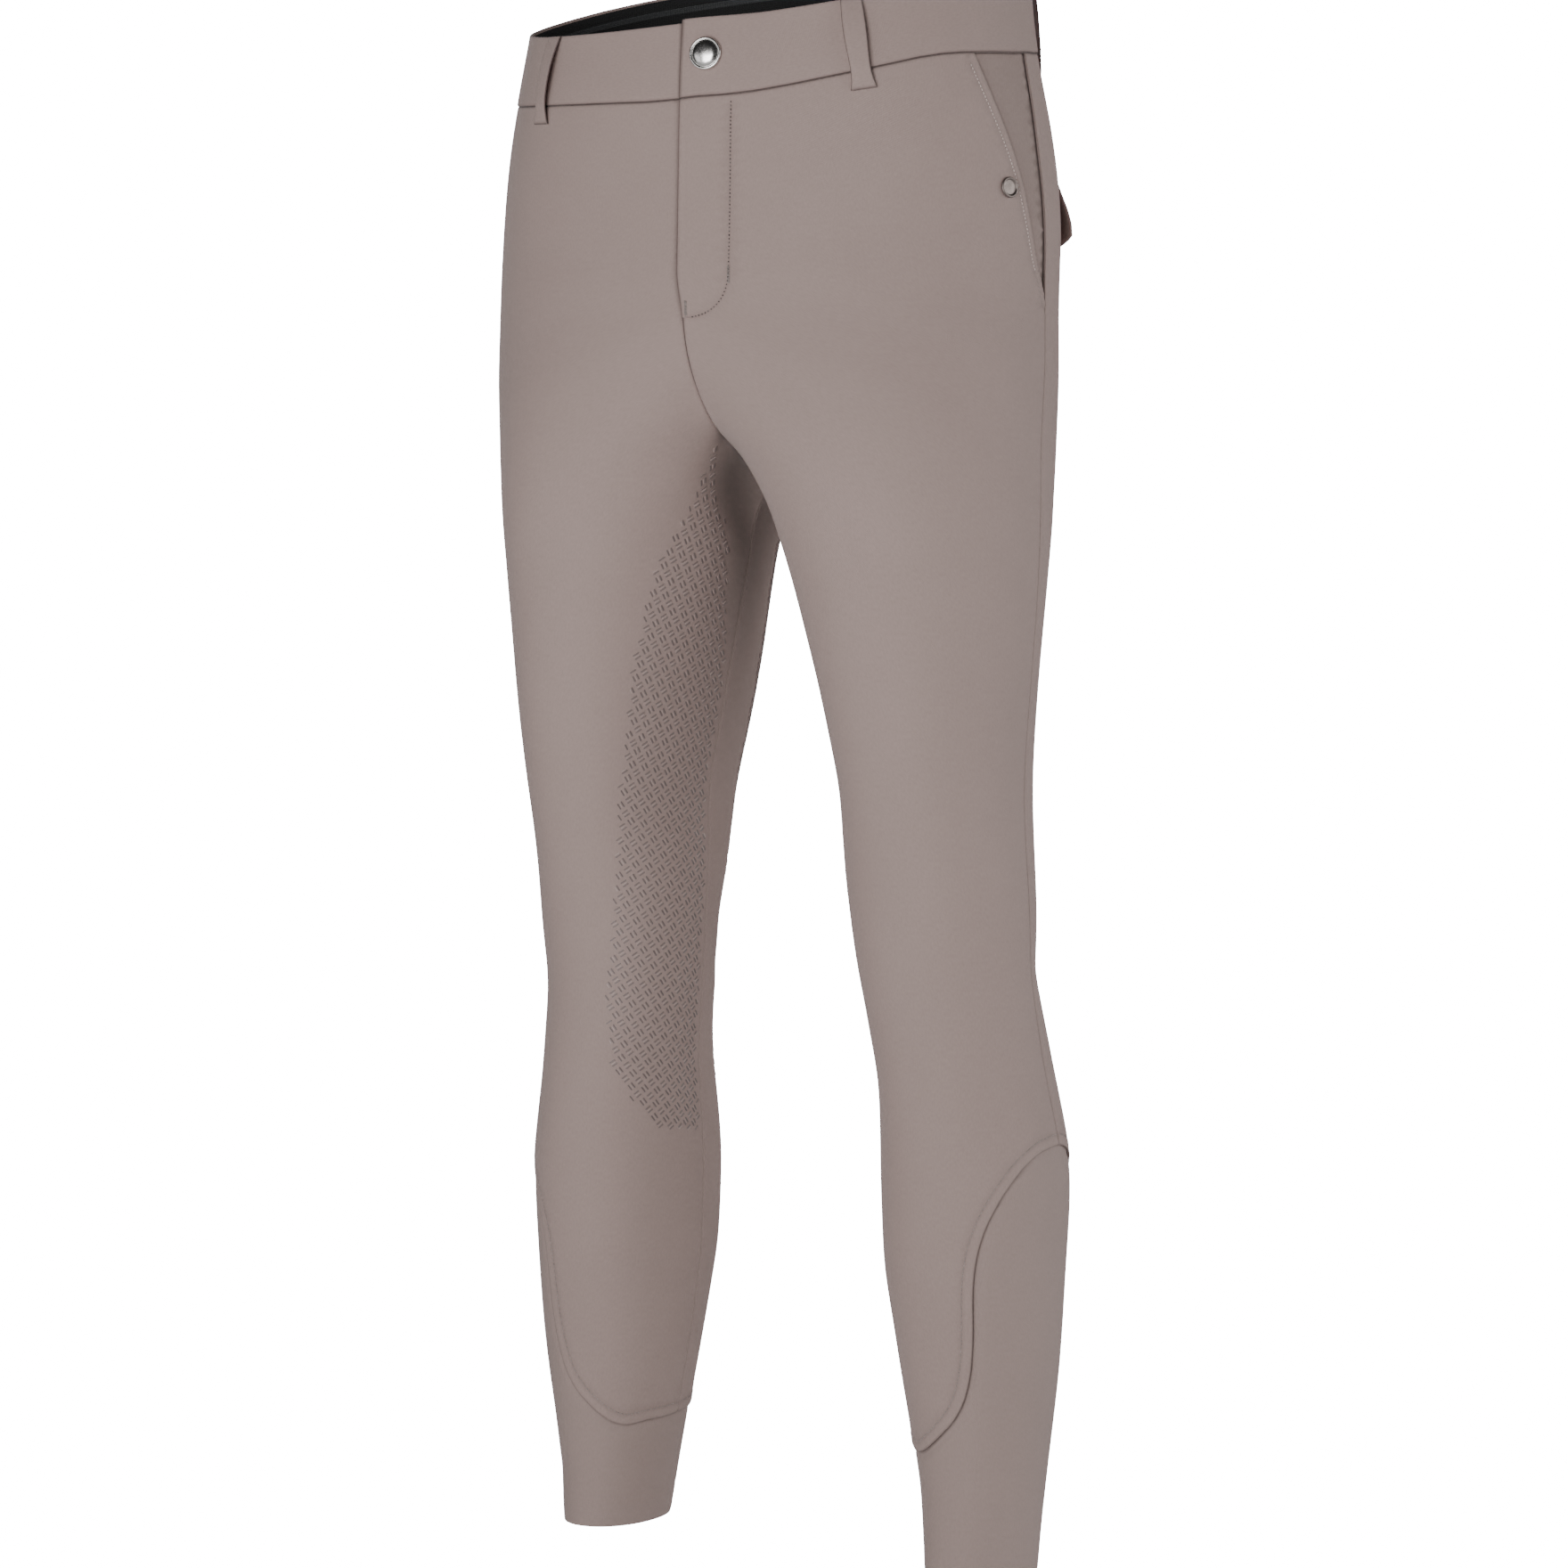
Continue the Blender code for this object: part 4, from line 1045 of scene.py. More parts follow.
def sewing_thread(name, dark, light):
    """Spun thread: its tone is set row by row, with a little unevenness from bar to bar."""
    finish, shader, make, feed = new_finish(name)
    tone = parts_of(make, mapped(make, "thread_tone"))
    uneven = math_node(make, "MULTIPLY_ADD", tone[1], 0.2, -0.1)
    share = math_node(make, "ADD", tone[0], uneven)
    feed(mix_colour(make, share, dark, light), "Base Color")
    twist = noise(make, make("ShaderNodeTexCoord").outputs["Object"], 2600.0, 1.0)
    add_bump(make, feed, 0.4, 0.0001, twist)
    set_inputs(shader, roughness=0.6, sheen_weight=0.15, specular_ior_level=0.3)
    return finish


THREAD = sewing_thread("sewing_thread", (0.055, 0.043, 0.039, 1.0), (0.66, 0.56, 0.53, 1.0))
STITCH_PITCH = 0.0023
# Length, thickness and tone of each kind of stitch; the fly's dark tone is painted shade of its needle
# holes
SHADOW_TONED_STITCH = (0.0011, 0.0009, 0.10)
PALE_STITCH = (0.0016, 0.0007, 1.00)
SOFT_STITCH = (0.0015, 0.0006, 0.42)
TACK_BAR = (0.0019, 0.0005, 0.35)
TACK_PITCH = 0.00055
TWILL = woven("stretch_twill", (0.398, 0.303, 0.280, 1.0), (0.311, 0.233, 0.213, 1.0),
              0.00062, 1.0, 0.9, 0.35, 0.86, 0.12, 0.35)

# Each seam's rolled edge, swell, puckers, distance to its stitching, shade above and below
PLAIN_SEAM = (0.00050, 0.00016, 0.00007, 0.0, 0.45, 0.25)
INSEAM_JOIN = (0.00025, 0.00005, 0.00003, 0.0, 0.12, 0.05)
CENTRE_SEAM = (0.00060, 0.00016, 0.00005, 0.0, 0.85, 0.70)
WAIST_JOIN = (0.00045, 0.0, 0.00008, 0.0, 0.90, 0.90)
POCKET_STITCH_AT = 0.0066
POCKET_EDGE = (0.00055, 0.00030, 0.00006, POCKET_STITCH_AT, 0.60, 0.60)
CUFF_STITCH_AT = 0.0070
CUFF_JOIN = (0.00040, 0.00005, 0.00007, CUFF_STITCH_AT, 0.50, 0.50)


FLY_LINE_TOP = WAIST_SEAM - 0.004
FLY_STRAIGHT_POINTS = 90
FLY_BEND_TURNS = (4, 86)
FLY_BEND_POINTS = 40


def by_centre(x, heights):
    """A plan line that runs a distance x from the centre of the front."""
    return np.stack([angle_at_x(x, heights), heights], axis=1)


def fly_line():
    """The fly's J: down from the waist seam and round to the centre."""
    heights = np.linspace(FLY_LINE_TOP, FLY_TURN, FLY_STRAIGHT_POINTS)
    straight = by_centre(fly_edge(heights), heights)
    turns = np.radians(np.linspace(*FLY_BEND_TURNS, FLY_BEND_POINTS))
    heights = FLY_TURN + (FLY_END - FLY_TURN) * np.sin(turns) ** (2 / FLY_SQUARE)
    bend = by_centre(FLY_WIDTH * np.cos(turns) ** (2 / FLY_SQUARE), heights)
    return np.concatenate([straight, bend])


FLY_TACKS = (
    # top, foot, distance from the centre
    (-0.1715, -0.1830, FLY_WIDTH),
    (-0.1935, -0.2035, 0.0035),
)
TACK_POINTS = 8
# How far each row of stitches stays off the ends of its line
POCKET_STITCH_ENDS = (0.004, 0.022)
CUFF_STITCH_ENDS = (0.003, 0.003)
FLY_STITCH_ENDS = (0.001, 0.002)
FLY_GROOVE = 0.00030
FLY_GROOVE_RUN = 0.0016
FLY_SHADE = 0.12
FLY_SHADE_RUN = 0.0017
UNDER_FLY_SHADE = 0.55
UNDER_FLY_RUN = 0.0021
UNDER_FLY_FADE = 0.03
FRONT_CENTRE_POINTS = 300
SIDE_POINTS = 165
WAIST_POINTS = 52
FRONT_SEED = 11


def line_gap(line, plan):
    """How far each place of the plan lies from a line."""
    gap, _ = beside(in_space(line), in_space(plan))
    return gap


def panel_skin(side, at_back, seams):
    """The outer skin's offset at any place of a panel."""
    def skin_at(plan):
        form = seam_form(in_space(plan), seams)
        if side > 0 and not at_back:
            form -= FLY_GROOVE * bell(line_gap(fly_line(), plan), FLY_GROOVE_RUN)
        return CLOTH_HALF + under_lift(side, at_back, plan[:, 0], plan[:, 1]) + form

    return skin_at


def panel_shade(side, at_back, plan, seams):
    """Painted shade on a panel along its seams and by the fly, with the darker patch by the crotch that
    is part wear, part painted shade.
    """
    dark = np.maximum(seam_shade(plan, seams), wear_and_painted_shade(side, plan))
    if at_back:
        return dark
    if side > 0:
        by_fly = FLY_SHADE * bell(line_gap(fly_line(), plan), FLY_SHADE_RUN)
    else:
        # The right front lies in the dark of the fly that laps over it
        gap = line_gap(centre_seam(side, False, FRONT_CENTRE_POINTS), plan)
        by_fly = UNDER_FLY_SHADE * bell(gap, UNDER_FLY_RUN)
        by_fly = by_fly * smooth_step((plan[:, 1] - FLY_END) / UNDER_FLY_FADE + 0.5)
    return np.maximum(dark, by_fly)


def add_panel(name, side, at_back, edge, stitch_lines, seams, node):
    """(piece, skin): a panel of the legs, cut within its edge and set on the worn form."""
    plan, faces = cut_cloth(inset(edge, SEAM_HALF), stitch_lines)
    angle, height = plan[:, 0], plan[:, 1]
    skin_at = panel_skin(side, at_back, seams)
    least = SEAM_HALF if at_back else fly_lap(side, height) + SEAM_HALF
    under = under_lift(side, at_back, angle, height) - CLOTH_HALF
    outer = kept_clear(cloth_point(side, angle, height, skin_at(plan)), side, least)
    inner = kept_clear(cloth_point(side, angle, height, under), side, least)
    shade = panel_shade(side, at_back, plan, seams)
    return add_cloth(name, side, outer, inner, faces, TWILL, node, plan, shade), skin_at


for word, side in BOTH_SIDES:
    pocket_line = pocket_mouth(side)
    foot = side_seam(pocket_line[-1, 1], side_foot, SIDE_POINTS)
    waist = waist_line(side, front_centre(side, WAIST_SEAM), pocket_line[0, 0], WAIST_POINTS)
    centre = centre_seam(side, False, FRONT_CENTRE_POINTS)
    round_cuff = cuff_line[:cuff_top + 1]
    edge = outline(waist, pocket_line, foot, round_cuff[::-1], inseam(False), centre)
    seams = [(waist, *WAIST_JOIN), (pocket_line, *POCKET_EDGE), (foot, *PLAIN_SEAM),
             (round_cuff, *CUFF_JOIN), (inseam(False), *INSEAM_JOIN), (centre, *CENTRE_SEAM)]
    pocket_stitch = shifted(pocket_line, -POCKET_STITCH_AT)
    cuff_stitch = shifted(round_cuff, CUFF_STITCH_AT)
    stitch_lines = [pocket_stitch, cuff_stitch]
    rows = [(along_line(pocket_stitch, STITCH_PITCH, *POCKET_STITCH_ENDS), *PALE_STITCH),
            (along_line(cuff_stitch, STITCH_PITCH, *CUFF_STITCH_ENDS), *SOFT_STITCH)]
    if side > 0:
        stitch_lines.append(fly_line())
        # The fly's stitches are toned dark: painted shade of their needle holes
        rows.append((along_line(fly_line(), STITCH_PITCH, *FLY_STITCH_ENDS), *SHADOW_TONED_STITCH))
        for top, end, x in FLY_TACKS:
            tack = by_centre(np.full(TACK_POINTS, x), np.linspace(top, end, TACK_POINTS))
            rows.append((across_line(tack, TACK_PITCH), *TACK_BAR))
    piece, skin_at = add_panel("front_cloth_" + word, side, False, edge, stitch_lines, seams,
                               "front_" + word)
    sewing = add_threads("front_sewing_" + word, side, rows, skin_at, FRONT_SEED)


# Back panels ----------------------------------------------------------------------------------
# The two backs of the same stretch twill run from the waist over the seat and down behind the
# leg. They meet at the centre back, and wrap round to the fronts at the side and the inseam.

POCKET_FOOT = POCKET_MOUTH[-1][0]
BACK_CENTRE_POINTS = 100
BACK_SEED = 12

for word, side in BOTH_SIDES:
    upper = side_seam(side_top(side), POCKET_FOOT, POCKET_POINTS)
    foot = side_seam(POCKET_FOOT, side_foot, SIDE_POINTS)
    centre = centre_seam(side, True, BACK_CENTRE_POINTS)
    waist = waist_line(side, side_line[0, 0], centre[-1, 0], WAIST_POINTS)
    round_cuff = cuff_line[cuff_top:]
    edge = outline(waist, centre[::-1], inseam(True)[::-1], round_cuff[::-1], foot[::-1],
                   upper[::-1])
    stitch_line = shifted(round_cuff, CUFF_STITCH_AT)
    seams = [(waist, *WAIST_JOIN), (centre, *CENTRE_SEAM), (inseam(True), *INSEAM_JOIN),
             (round_cuff, *CUFF_JOIN), (np.concatenate([upper, foot[1:]]), *PLAIN_SEAM)]
    piece, skin_at = add_panel("back_cloth_" + word, side, True, edge, [stitch_line], seams,
                               "back_" + word)
    rows = [(along_line(stitch_line, STITCH_PITCH, *CUFF_STITCH_ENDS), *SOFT_STITCH)]
    sewing = add_threads("back_sewing_" + word, side, rows, skin_at, BACK_SEED)


# Pocket facings -------------------------------------------------------------------------------
# Behind each slanted pocket edge a facing of the same twill fills the wedge up to the side seam
# one layer lower. Its copy of the twill is coloured darker, as painted shade.

# The same twill coloured darker: painted shade on the facing
SHADED_POCKET_TWILL = woven("pocket_twill", (0.347, 0.263, 0.242, 1.0), (0.267, 0.199, 0.182, 1.0),
                     0.00062, 1.0, 0.9, 0.3, 0.88, 0.10, 0.35)
LAYER_GAP = 0.0003
FACING_REACH = 0.008
FACING_TUCK = 0.005
FACING_WAIST_POINTS = 16


def tucked(side, line, distance):
    """A line moved sideways under its neighbour, but no higher than the waist seam."""
    line = shifted(line, distance)
    line[:, 1] = np.minimum(line[:, 1], hung(side, line[:, 0], WAIST_SEAM))
    return line


for word, side in BOTH_SIDES:
    upper = side_seam(side_top(side), POCKET_FOOT, POCKET_POINTS)
    under = tucked(side, pocket_mouth(side), -FACING_REACH)
    behind = tucked(side, upper, FACING_TUCK)
    waist = waist_line(side, under[0, 0], behind[0, 0], FACING_WAIST_POINTS)
    plan, faces = cut_cloth(inset(outline(waist, behind, under[:-3][::-1]), SEAM_HALF))
    angle, height = plan[:, 0], plan[:, 1]
    seams = [(upper, *PLAIN_SEAM), (waist, *WAIST_JOIN)]
    form = seam_form(in_space(plan), seams)
    low = -CLOTH_HALF - LAYER_GAP
    outer = cloth_point(side, angle, height, low + np.minimum(form, 0.0))
    inner = cloth_point(side, angle, height, np.full(len(plan), low - 2 * CLOTH_HALF))
    node = "pocket_facing_" + word
    shade = seam_shade(plan, seams)
    piece = add_cloth("pocket_cloth_" + word, side, outer, inner, faces, SHADED_POCKET_TWILL, node, plan, shade)


# Stretch panels -------------------------------------------------------------------------------
# Each leg ends in a thinner, closely knitted stretch panel that rises on the outer side of the
# calf. Its upper edge is lapped under the twill, and its hem is left plain.

STRETCH_KNIT = woven("stretch_knit", (0.376, 0.288, 0.266, 1.0), (0.294, 0.222, 0.203, 1.0),
                     0.00048, 0.55, 0.7, 0.25, 0.80, 0.14, 0.30)
HEMS = {1: -0.994, -1: -0.981}
CUFF_THICK = 0.0011
CUFF_TUCK = 0.0060
CUFF_RISE = 0.0009
CUFF_RISE_FROM = 0.0006
CUFF_RISE_RUN = 0.0060
CUFF_COLUMNS = 176
CUFF_ROWS = 64
CUFF_RADIUS = 0.052
STEEPEST_TUCK = 2.6
CUFF_PUCKER = 0.00012
CUFF_PUCKER_PITCH = 0.0074
CUFF_PUCKER_RUN = 0.006
HEM_RUN = 0.0015
HEM_ROWS = (0.0006, 0.0014)
HEM_ROUND = 0.0004
HEM_ROUND_INSIDE = 0.0002
# The crease left by the turned-up hem, a little above the edge
HEM_DEPTH = 0.019
HEM_CREASE = 0.00012
HEM_CREASE_RUN = 0.0012
CUFF_SHADE = 0.45
CUFF_SHADE_RUN = 0.0009

cuff_step = 2 * math.pi / CUFF_COLUMNS
cuff_angles = np.arange(CUFF_COLUMNS) * 2 * math.pi / CUFF_COLUMNS
cuff_edge = np.interp(cuff_angles, cuff_line[:, 0], cuff_line[:, 1])
cuff_slope = np.gradient(np.concatenate([cuff_edge[-2:], cuff_edge, cuff_edge[:2]]))[2:-2]
cuff_steep = np.sqrt(1 + (cuff_slope / (cuff_step * CUFF_RADIUS)) ** 2)
top_edge = cuff_edge + CUFF_TUCK * np.minimum(cuff_steep, STEEPEST_TUCK)

for word, side in BOTH_SIDES:
    level = HEMS[side]
    rows = level + (top_edge - level)[None, :] * np.linspace(0, 1, CUFF_ROWS)[:, None]
    for row, rise in enumerate(HEM_ROWS, 1):
        rows[row, :] = level + rise
    angle, height = np.tile(cuff_angles, CUFF_ROWS), rows.ravel()
    plan = np.stack([angle, height], axis=1)
    gap, run = beside(in_space(cuff_line)[::2], in_space(plan))
    below = height < np.interp(angle, cuff_line[:, 0], cuff_line[:, 1])
    wave = np.sin(2 * math.pi * run / CUFF_PUCKER_PITCH + np.sin(run / 0.05))
    pucker = CUFF_PUCKER * wave * bell(gap, CUFF_PUCKER_RUN)
    hem = bell(height - level, HEM_RUN)
    crease = HEM_CREASE * bell(height - level - HEM_DEPTH, HEM_CREASE_RUN)
    out = -CLOTH_HALF - LAYER_GAP
    out = out + CUFF_RISE * below * smooth_step((gap - CUFF_RISE_FROM) / CUFF_RISE_RUN)
    outer = cloth_point(side, angle, height, out + pucker * below - HEM_ROUND * hem - crease)
    inner = cloth_point(side, angle, height, out - CUFF_THICK + HEM_ROUND_INSIDE * hem)
    faces = halved(quad_grid(CUFF_ROWS, CUFF_COLUMNS))
    shade = CUFF_SHADE * bell(gap, CUFF_SHADE_RUN)
    node = "cuff_" + word
    piece = add_cloth("stretch_panel_" + word, side, outer, inner, faces, STRETCH_KNIT, node,
                      plan, shade)


# Grip print -----------------------------------------------------------------------------------
# Soft silicone is printed on the seat, the inner thighs and the knees, so that they hold on the
# saddle: a slanting check of small cells, each of two raised dashes set one way or the other.

PRINT_PITCH = 0.0062
PRINT_TURN = math.radians(35.0)
PRINT_REACH = 150
PRINT_WIDEST = 0.42
DASH_LENGTH = 0.0050
DASH_WIDE = 0.0010
DASH_SPREAD = 0.0027
GLINT_LENGTH = 0.0038
GLINT_WIDE = 0.0006
DASH_TOP = 0.00032
DASH_ROOT = -0.00030
DASH_TAPER = 0.82
DASH_SIDES = 6
# Kinds of mark: dashes painted darker as shaded, dashes painted lighter as lit, and painted highlight
# bars
SHADED_DASH, LIT_DASH, GLINT = 0, 1, 2
FRONT_PRINT_SEED = 41
BACK_PRINT_SEED = 42
PRINT_OFF_INSEAM = 0.0050
# The print is left off where the patch of wear and painted shade is dark
NO_PRINT_ON_WEAR_AND_SHADE = 0.30
# The left leg is turned in, so its print lies further round the inside
FRONT_PRINT_REACH = {1: math.radians(25.0), -1: math.radians(90.0)}
# The girth angle at which the print starts, down from the crotch
FRONT_PRINT_START = (
    # height, girth angle
    (-0.4325, 2.5),
    (-0.4100, 5.5),
    (-0.3875, 9.0),
    (-0.3650, 11.5),
    (-0.3425, 14.5),
    (-0.3200, 19.5),
    (-0.2975, 28.0),
    (-0.2825, 36.0),
)
PRINT_OFF_INSEAM_BACK = 0.0450
PRINT_OFF_CENTRE = 0.0050
PRINT_BACK_START = math.radians(187.0)
# The print's outer limit on the front, down from the crotch to over the knee, and on the back
FRONT_PRINT_EDGE = (
    # height, girth angle
    (-0.7250, 0.0),
    (-0.7200, 33.5),
    (-0.7025, 52.0),
    (-0.6750, 68.5),
    (-0.6350, 75.0),
    (-0.5675, 68.0),
    (-0.4875, 53.5),
    (-0.4200, 50.5),
    (-0.3650, 46.5),
    (-0.3200, 34.0),
    (-0.2825, 35.5),
    (-0.2700, 30.0),
)
BACK_PRINT_EDGE = (
    # height, girth angle
    (-0.7250, 360.0),
    (-0.7150, 340.0),
    (-0.6900, 318.0),
    (-0.6400, 300.0),
    (-0.5600, 292.0),
    (-0.4800, 288.0),
    (-0.4200, 283.0),
    (-0.3600, 272.0),
    (-0.3200, 255.0),
    (-0.2800, 238.0),
    (-0.2400, 228.0),
    (-0.2000, 225.0),
    (-0.1650, 232.0),
    (-0.1500, 245.0),
    (-0.1450, 262.0),
)


def silicone(name, shaded_colour, lit_colour, glint):
    """Printed silicone, a little darker than the cloth; the dashes down the slant are painted darker and
    those across lighter, as painted shading of one material, and the pale bars between are painted
    highlights.
    """
    finish, shader, make, feed = new_finish(name)
    marks = parts_of(make, mapped(make, "grip_place"))
    uneven = math_node(make, "MULTIPLY_ADD", marks[1], 0.5, -0.25)
    share = math_node(make, "ADD", marks[0], uneven)
    dashes = mix_colour(make, share, shaded_colour, lit_colour)
    between = math_node(make, "GREATER_THAN", marks[0], 1.5)
    feed(mix_colour(make, between, dashes, glint), "Base Color")
    set_inputs(shader, roughness=0.42, specular_ior_level=0.45)
    return finish


# The two dash colours are painted shading of one silicone; the third colour is a painted highlight
GRIP = silicone("grip_silicone", (0.170, 0.134, 0.128, 1.0), (0.222, 0.174, 0.164, 1.0),
                (0.450, 0.360, 0.342, 1.0))


def print_dashes():
    """(middles, directions, kinds): every dash of an unbounded print and the painted highlight bar in
    each cell, in girth run and height.
    """
    along = np.array([-math.cos(PRINT_TURN), math.sin(PRINT_TURN)])
    down = np.array([-math.sin(PRINT_TURN), -math.cos(PRINT_TURN)])
    steps = np.arange(-PRINT_REACH, PRINT_REACH)
    column, row = [grid.ravel() for grid in np.meshgrid(steps, steps)]
    cells = (column[:, None] * along + row[:, None] * down) * PRINT_PITCH
    ways = np.where((column + row) % 2, LIT_DASH, SHADED_DASH)
    direction = np.where(ways[:, None] == SHADED_DASH, down, along)
    spread = np.where(ways[:, None] == SHADED_DASH, along, down) * DASH_SPREAD / 2
    # A dash on each side of a cell, and between them a pale bar that is a painted highlight
    middles = np.concatenate([cells - spread, cells + spread, cells])
    kinds = np.concatenate([ways, ways, np.full(len(ways), GLINT)])
    return middles, np.tile(direction, (3, 1)), kinds


def print_run(places, at_back):
    """How far round the girth from the inseam each place of the unbounded print lies."""
    height = places[:, 1]
    if at_back:
        return places[:, 0] + girth_run(np.full(len(height), PRINT_BACK_START), height)
    return places[:, 0]


def print_limits(side, at_back, height):
    """The runs round the girth between which the print lies at each height."""
    table = np.array(BACK_PRINT_EDGE if at_back else FRONT_PRINT_EDGE)
    limit = np.radians(np.interp(height, table[:, 0], table[:, 1]))
    if at_back:
        full = girth_run(np.full(len(height), 2 * math.pi), height) - PRINT_OFF_INSEAM_BACK
        centre = girth_run(angle_at_x(0.0, height, True), height) - PRINT_OFF_CENTRE
        return girth_run(limit, height), np.where(height > CROTCH, centre, full)
    start = np.radians(np.interp(height, *np.array(FRONT_PRINT_START).T))
    start = np.maximum(girth_run(start, height), PRINT_OFF_INSEAM)
    return start, girth_run(np.minimum(limit, FRONT_PRINT_REACH[side]), height)


def grip_print(name, side, at_back, seed):
    """The raised dashes of one panel, with their painted highlight bars, as one piece."""
    middles, direction, kinds = print_dashes()
    table = np.array(BACK_PRINT_EDGE if at_back else FRONT_PRINT_EDGE)
    near = (middles[:, 1] > table[0, 0]) & (middles[:, 1] < table[-1, 0])
    near &= np.abs(middles[:, 0]) < PRINT_WIDEST
    middles, direction, kinds = middles[near], direction[near], kinds[near]
    height = middles[:, 1]
    run = print_run(middles, at_back)
    start, end = print_limits(side, at_back, height)
    kept = (run > start) & (run < end)
    # No print where the patch of wear and painted shade lies dark
    kept &= wear_and_painted_shade(side, np.stack([angle_at_run(run, height), height], axis=1)) < NO_PRINT_ON_WEAR_AND_SHADE
    middles, direction, kinds = middles[kept], direction[kept], kinds[kept]
    across = quarter_turn(direction)
    long = np.where(kinds == GLINT, GLINT_LENGTH, DASH_LENGTH)[:, None] / 2
    wide = np.where(kinds == GLINT, GLINT_WIDE, DASH_WIDE)[:, None] / 2
    # Six corners: a point at each end of a bar, and a shoulder on each side of it
    ring_along = np.array([1, 1, -1, -1, -1, 1]) * long - np.array([0, 1, -1, 0, -1, 1]) * wide
    ring_across = np.array([0, 1, 1, 0, -1, -1]) * wide
    ring = (ring_along[:, :, None] * direction[:, None, :]
            + ring_across[:, :, None] * across[:, None, :])
    skins = []
    for share, lift in ((1.0, DASH_ROOT), (DASH_TAPER, DASH_TOP)):
        places = (middles[:, None, :] + share * ring).reshape(-1, 2)
        height = places[:, 1]
        angle = angle_at_run(print_run(places, at_back), height)
        rise = CLOTH_HALF + lift + under_lift(side, at_back, angle, height)
        skins.append(cloth_point(side, angle, height, rise).reshape(-1, DASH_SIDES, 3))
    points = np.concatenate(skins, axis=1).reshape(-1, 3)
    bottom = list(range(DASH_SIDES))
    one = [[k + DASH_SIDES for k in bottom], bottom[::-1]] + quad_grid(2, DASH_SIDES).tolist()
    one = flipped(one) if side < 0 else one
    size = 2 * DASH_SIDES
    faces = [[k + size * dash for k in face] for dash in range(len(middles)) for face in one]
    dice = np.random.default_rng(seed).random(len(middles))
    marks = np.repeat(np.stack([kinds.astype(float), dice], axis=1), size, axis=0)
    add_piece(name, points, faces, GRIP, [("grip_place", marks)])


for word, side in BOTH_SIDES:
    grip_print("grip_print_front_" + word, side, False, FRONT_PRINT_SEED)
    grip_print("grip_print_back_" + word, side, True, BACK_PRINT_SEED)


# Waistbands -----------------------------------------------------------------------------------
# The band is a folded strip of the twill in a left and a right half, joined at the centre back.
# It is sewn over the tops of the panels, and its left end laps over the right at the fly.

BAND_OUT = 0.0013
BAND_IN = -0.0009
BAND_END_LIFT = 0.0020
BAND_END_RUN = 0.060
BAND_COLUMNS = 150
BAND_CROWN = 0.0004
BAND_MIDDLE = (BAND_OUT + BAND_IN) / 2
BAND_HALF = (BAND_OUT - BAND_IN) / 2
# The foot's rounding: height above the edge, how far the skin stands back
BAND_FOOT = ((0.0, 0.0007), (0.0004, 0.0003), (0.0010, 0.0))
BAND_FACE_FROM = 0.0022
BAND_FACE_ROWS = 22
BAND_BACK_ROWS = 12
BAND_FOLD_ROOM = 0.0006
BAND_FOLD_TURNS = (22, 45, 68, 90, 112, 135, 158)
# Shares of the half's length, packed close at the turned ends
BAND_START = (0.0, 0.0012, 0.003)
BAND_END = (0.9975, 1.0)
BAND_START_ROUND = 0.0016
BAND_END_ROUND = 0.0014
BAND_ENDS_LOW = 0.00055
BAND_WAVE = 0.00010
BAND_WAVE_LENGTH = 0.0125
BAND_WAVE_REACH = 0.010
BAND_FOOT_SHADE = 0.9
BAND_FOOT_SHADE_RUN = 0.0008
BAND_END_SHADE = 0.8


def band_lift(side, angle, height):
    """The left band's end stands proud of the right's, over its layers."""
    if side < 0:
        return np.zeros(len(angle))
    x = plain_point(1, angle, height)[:, 0]
    return BAND_END_LIFT * smooth_step(1 - x / BAND_END_RUN) * (np.sin(angle) > 0)


def band_section():
    """The folded strip's section from its lower outer edge, over the top and down inside."""
    foot, top = WAIST_SEAM + 2 * SEAM_HALF, -BAND_HALF - BAND_FOLD_ROOM
    rows = [(foot, BAND_MIDDLE)] + [(foot + rise, BAND_OUT - back) for rise, back in BAND_FOOT]
    for height in np.linspace(foot + BAND_FACE_FROM, top, BAND_FACE_ROWS):
        share = (height - foot) / -foot
        rows.append((height, BAND_OUT + BAND_CROWN * math.sin(math.pi * share)))
    for turn in np.radians(BAND_FOLD_TURNS):
        height = -BAND_HALF + BAND_HALF * math.sin(turn)
        rows.append((height, BAND_MIDDLE + BAND_HALF * math.cos(turn)))
    rows += [(height, BAND_IN) for height in np.linspace(top, foot, BAND_BACK_ROWS)]
    return np.array(rows)


